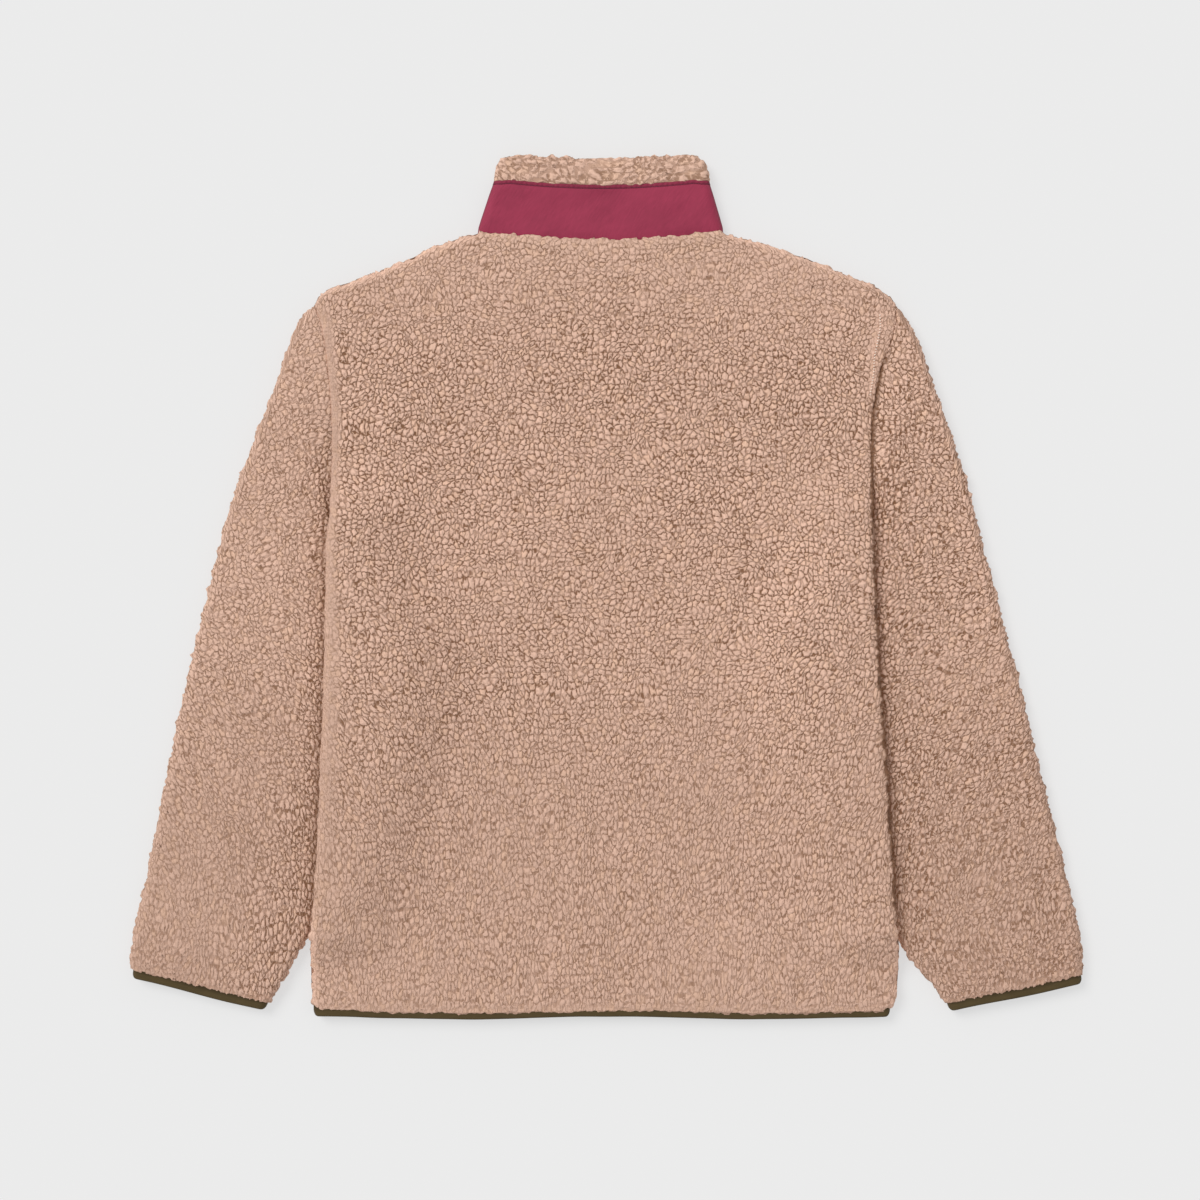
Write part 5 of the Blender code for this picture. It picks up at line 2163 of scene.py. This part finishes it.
@dataclass
class ZipChain:
    """The closed chain: two rows of moulded teeth that reach between each other."""

    reach: float = 0.0042
    thick: float = 0.00125
    pitch: float = 0.0029
    edge: float = 0.0003

    def tooth(self) -> Shape:
        """Models a left tooth: a chamfered block with a lower neck behind its head.

        Returns:
            Its points and faces.
        """
        low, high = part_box("zip_chain")
        centre = (low.x + high.x) / 2
        add_block((self.reach, self.thick, high.z - low.z),
                  (centre - 0.0034 + self.reach / 2, 0.0, (low.z + high.z) / 2))
        neck = centre - 0.0006
        cut_across(neck)
        bpy.ops.mesh.select_all(action="DESELECT")
        bpy.ops.object.mode_set(mode="OBJECT")
        for vertex in bpy.context.object.data.vertices:
            vertex.select = abs(vertex.co.x - neck) < 1e-5
        bpy.ops.object.mode_set(mode="EDIT")
        bpy.ops.transform.resize(value=(1, 0.78, 0.84))
        bpy.ops.object.mode_set(mode="OBJECT")
        chamfer = bpy.context.object.modifiers.new("chamfer", "BEVEL")
        chamfer.width, chamfer.segments = self.edge, 1
        chamfer.limit_method = "ANGLE"
        bpy.ops.object.modifier_apply(modifier=chamfer.name)
        return shape_taken()

    def build(self) -> Object:
        """Builds both rows in the place of the plain chain.

        Returns:
            The finished piece.
        """
        low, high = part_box("zip_chain")
        points, faces = self.tooth()
        teeth = []
        for hand in Hand:
            turned = [face[::-hand.value] for face in faces]
            start = low.y + self.thick / 2 + (self.pitch / 2 if hand is Hand.RIGHT else 0.0)
            for place in np.arange(start, high.y - self.thick / 2, self.pitch):
                tooth = points + (0.0, place, 0.0)
                if hand is Hand.RIGHT:
                    tooth[:, 0] = low.x + high.x - tooth[:, 0]
                teeth.append((tooth, turned))
        made = plain_object("zip_teeth", teeth, PLASTIC.material)
        return settle(made, ["zip_chain"])


def dress_nodes(nodes: Dict[str, Object]) -> None:
    """Gives the zip's tapes, slider and pull tab, whose CAD shapes are kept, their materials."""
    tape, metal = TAPE.material, METAL.material
    for name, material in (("zip_tape_left", tape), ("zip_tape_right", tape),
                           ("zip_slider", metal), ("zip_pull", metal)):
        for slot in nodes[name].material_slots:
            slot.material = material
        LOG.info("%s: CAD shape kept", name)


# ---- The room ----

@dataclass
class Studio:
    """Pale floor, soft light from the upper left and a camera straight above."""

    aim: Pair = (-0.006, -0.0129)
    view_width: float = 1.104
    lens: float = 85.0
    sensor: float = 36.0
    floor_side: float = 12.0
    floor_shade: float = 0.25
    floor_glow: float = 0.582
    world_strength: float = 0.6
    sun_strength: float = 1.75
    sun_angle: float = 30.0
    sun_turn: Pair = (42.0, 40.0)

    def build(self) -> None:
        """Makes the floor, the lights and the camera."""
        bpy.ops.object.select_all(action="DESELECT")
        bpy.ops.mesh.primitive_plane_add(size=self.floor_side, location=(0.0, 0.0, 0.0))
        floor = bpy.context.object
        floor.name = "floor"
        dye = Dye("light_table")
        floor.data.materials.append(dye.finish(
            Base_Color=(self.floor_shade,) * 3, Roughness=1.0, Specular_IOR_Level=0.0,
            Emission_Color=(1.0, 1.0, 1.0), Emission_Strength=self.floor_glow,
            Alpha=1 - dye.node("NewGeometry", {}, {}, "Backfacing")))
        scene = bpy.context.scene
        world = bpy.data.worlds.new("soft_room")
        world.use_nodes = True
        sky = world.node_tree.nodes["Background"].inputs
        sky["Color"].default_value = (0.98, 0.99, 1.0, 1)
        sky["Strength"].default_value = self.world_strength
        scene.world = world
        tilt, side = (math.radians(angle) for angle in self.sun_turn)
        lamp = bpy.data.lights.new("window", "SUN")
        lamp.energy, lamp.angle = self.sun_strength, math.radians(self.sun_angle)
        lamp.color = (1.0, 0.985, 0.965)
        sun = bpy.data.objects.new("window", lamp)
        sun.rotation_euler = (0.0, -tilt, -side)
        scene.collection.objects.link(sun)
        data = bpy.data.cameras.new("camera")
        data.lens, data.sensor_width = self.lens, self.sensor
        camera = bpy.data.objects.new("camera", data)
        height = self.view_width * self.lens / self.sensor + 2 * OUTLINE.outer
        camera.location = (*self.aim, height)
        scene.collection.objects.link(camera)
        scene.camera = camera
        scene.view_settings.view_transform = "Standard"


def main() -> None:
    """Builds the jacket and the room, in order."""
    logging.basicConfig(level=logging.INFO, format="%(name)s: %(message)s")
    Studio().build()
    Body().build([frame["nodes"]["zip_tape_" + side] for side in ("left", "right")])
    for sleeve in (LEFT_SLEEVE, RIGHT_SLEEVE):
        sleeve.build()
        CuffBinding(sleeve).build()
    HemBinding().build()
    collar = Collar()
    collar.build_pile()
    collar.build_band()
    ZipChain().build()
    dress_nodes(frame["nodes"])


if __name__ == "__main__":
    main()
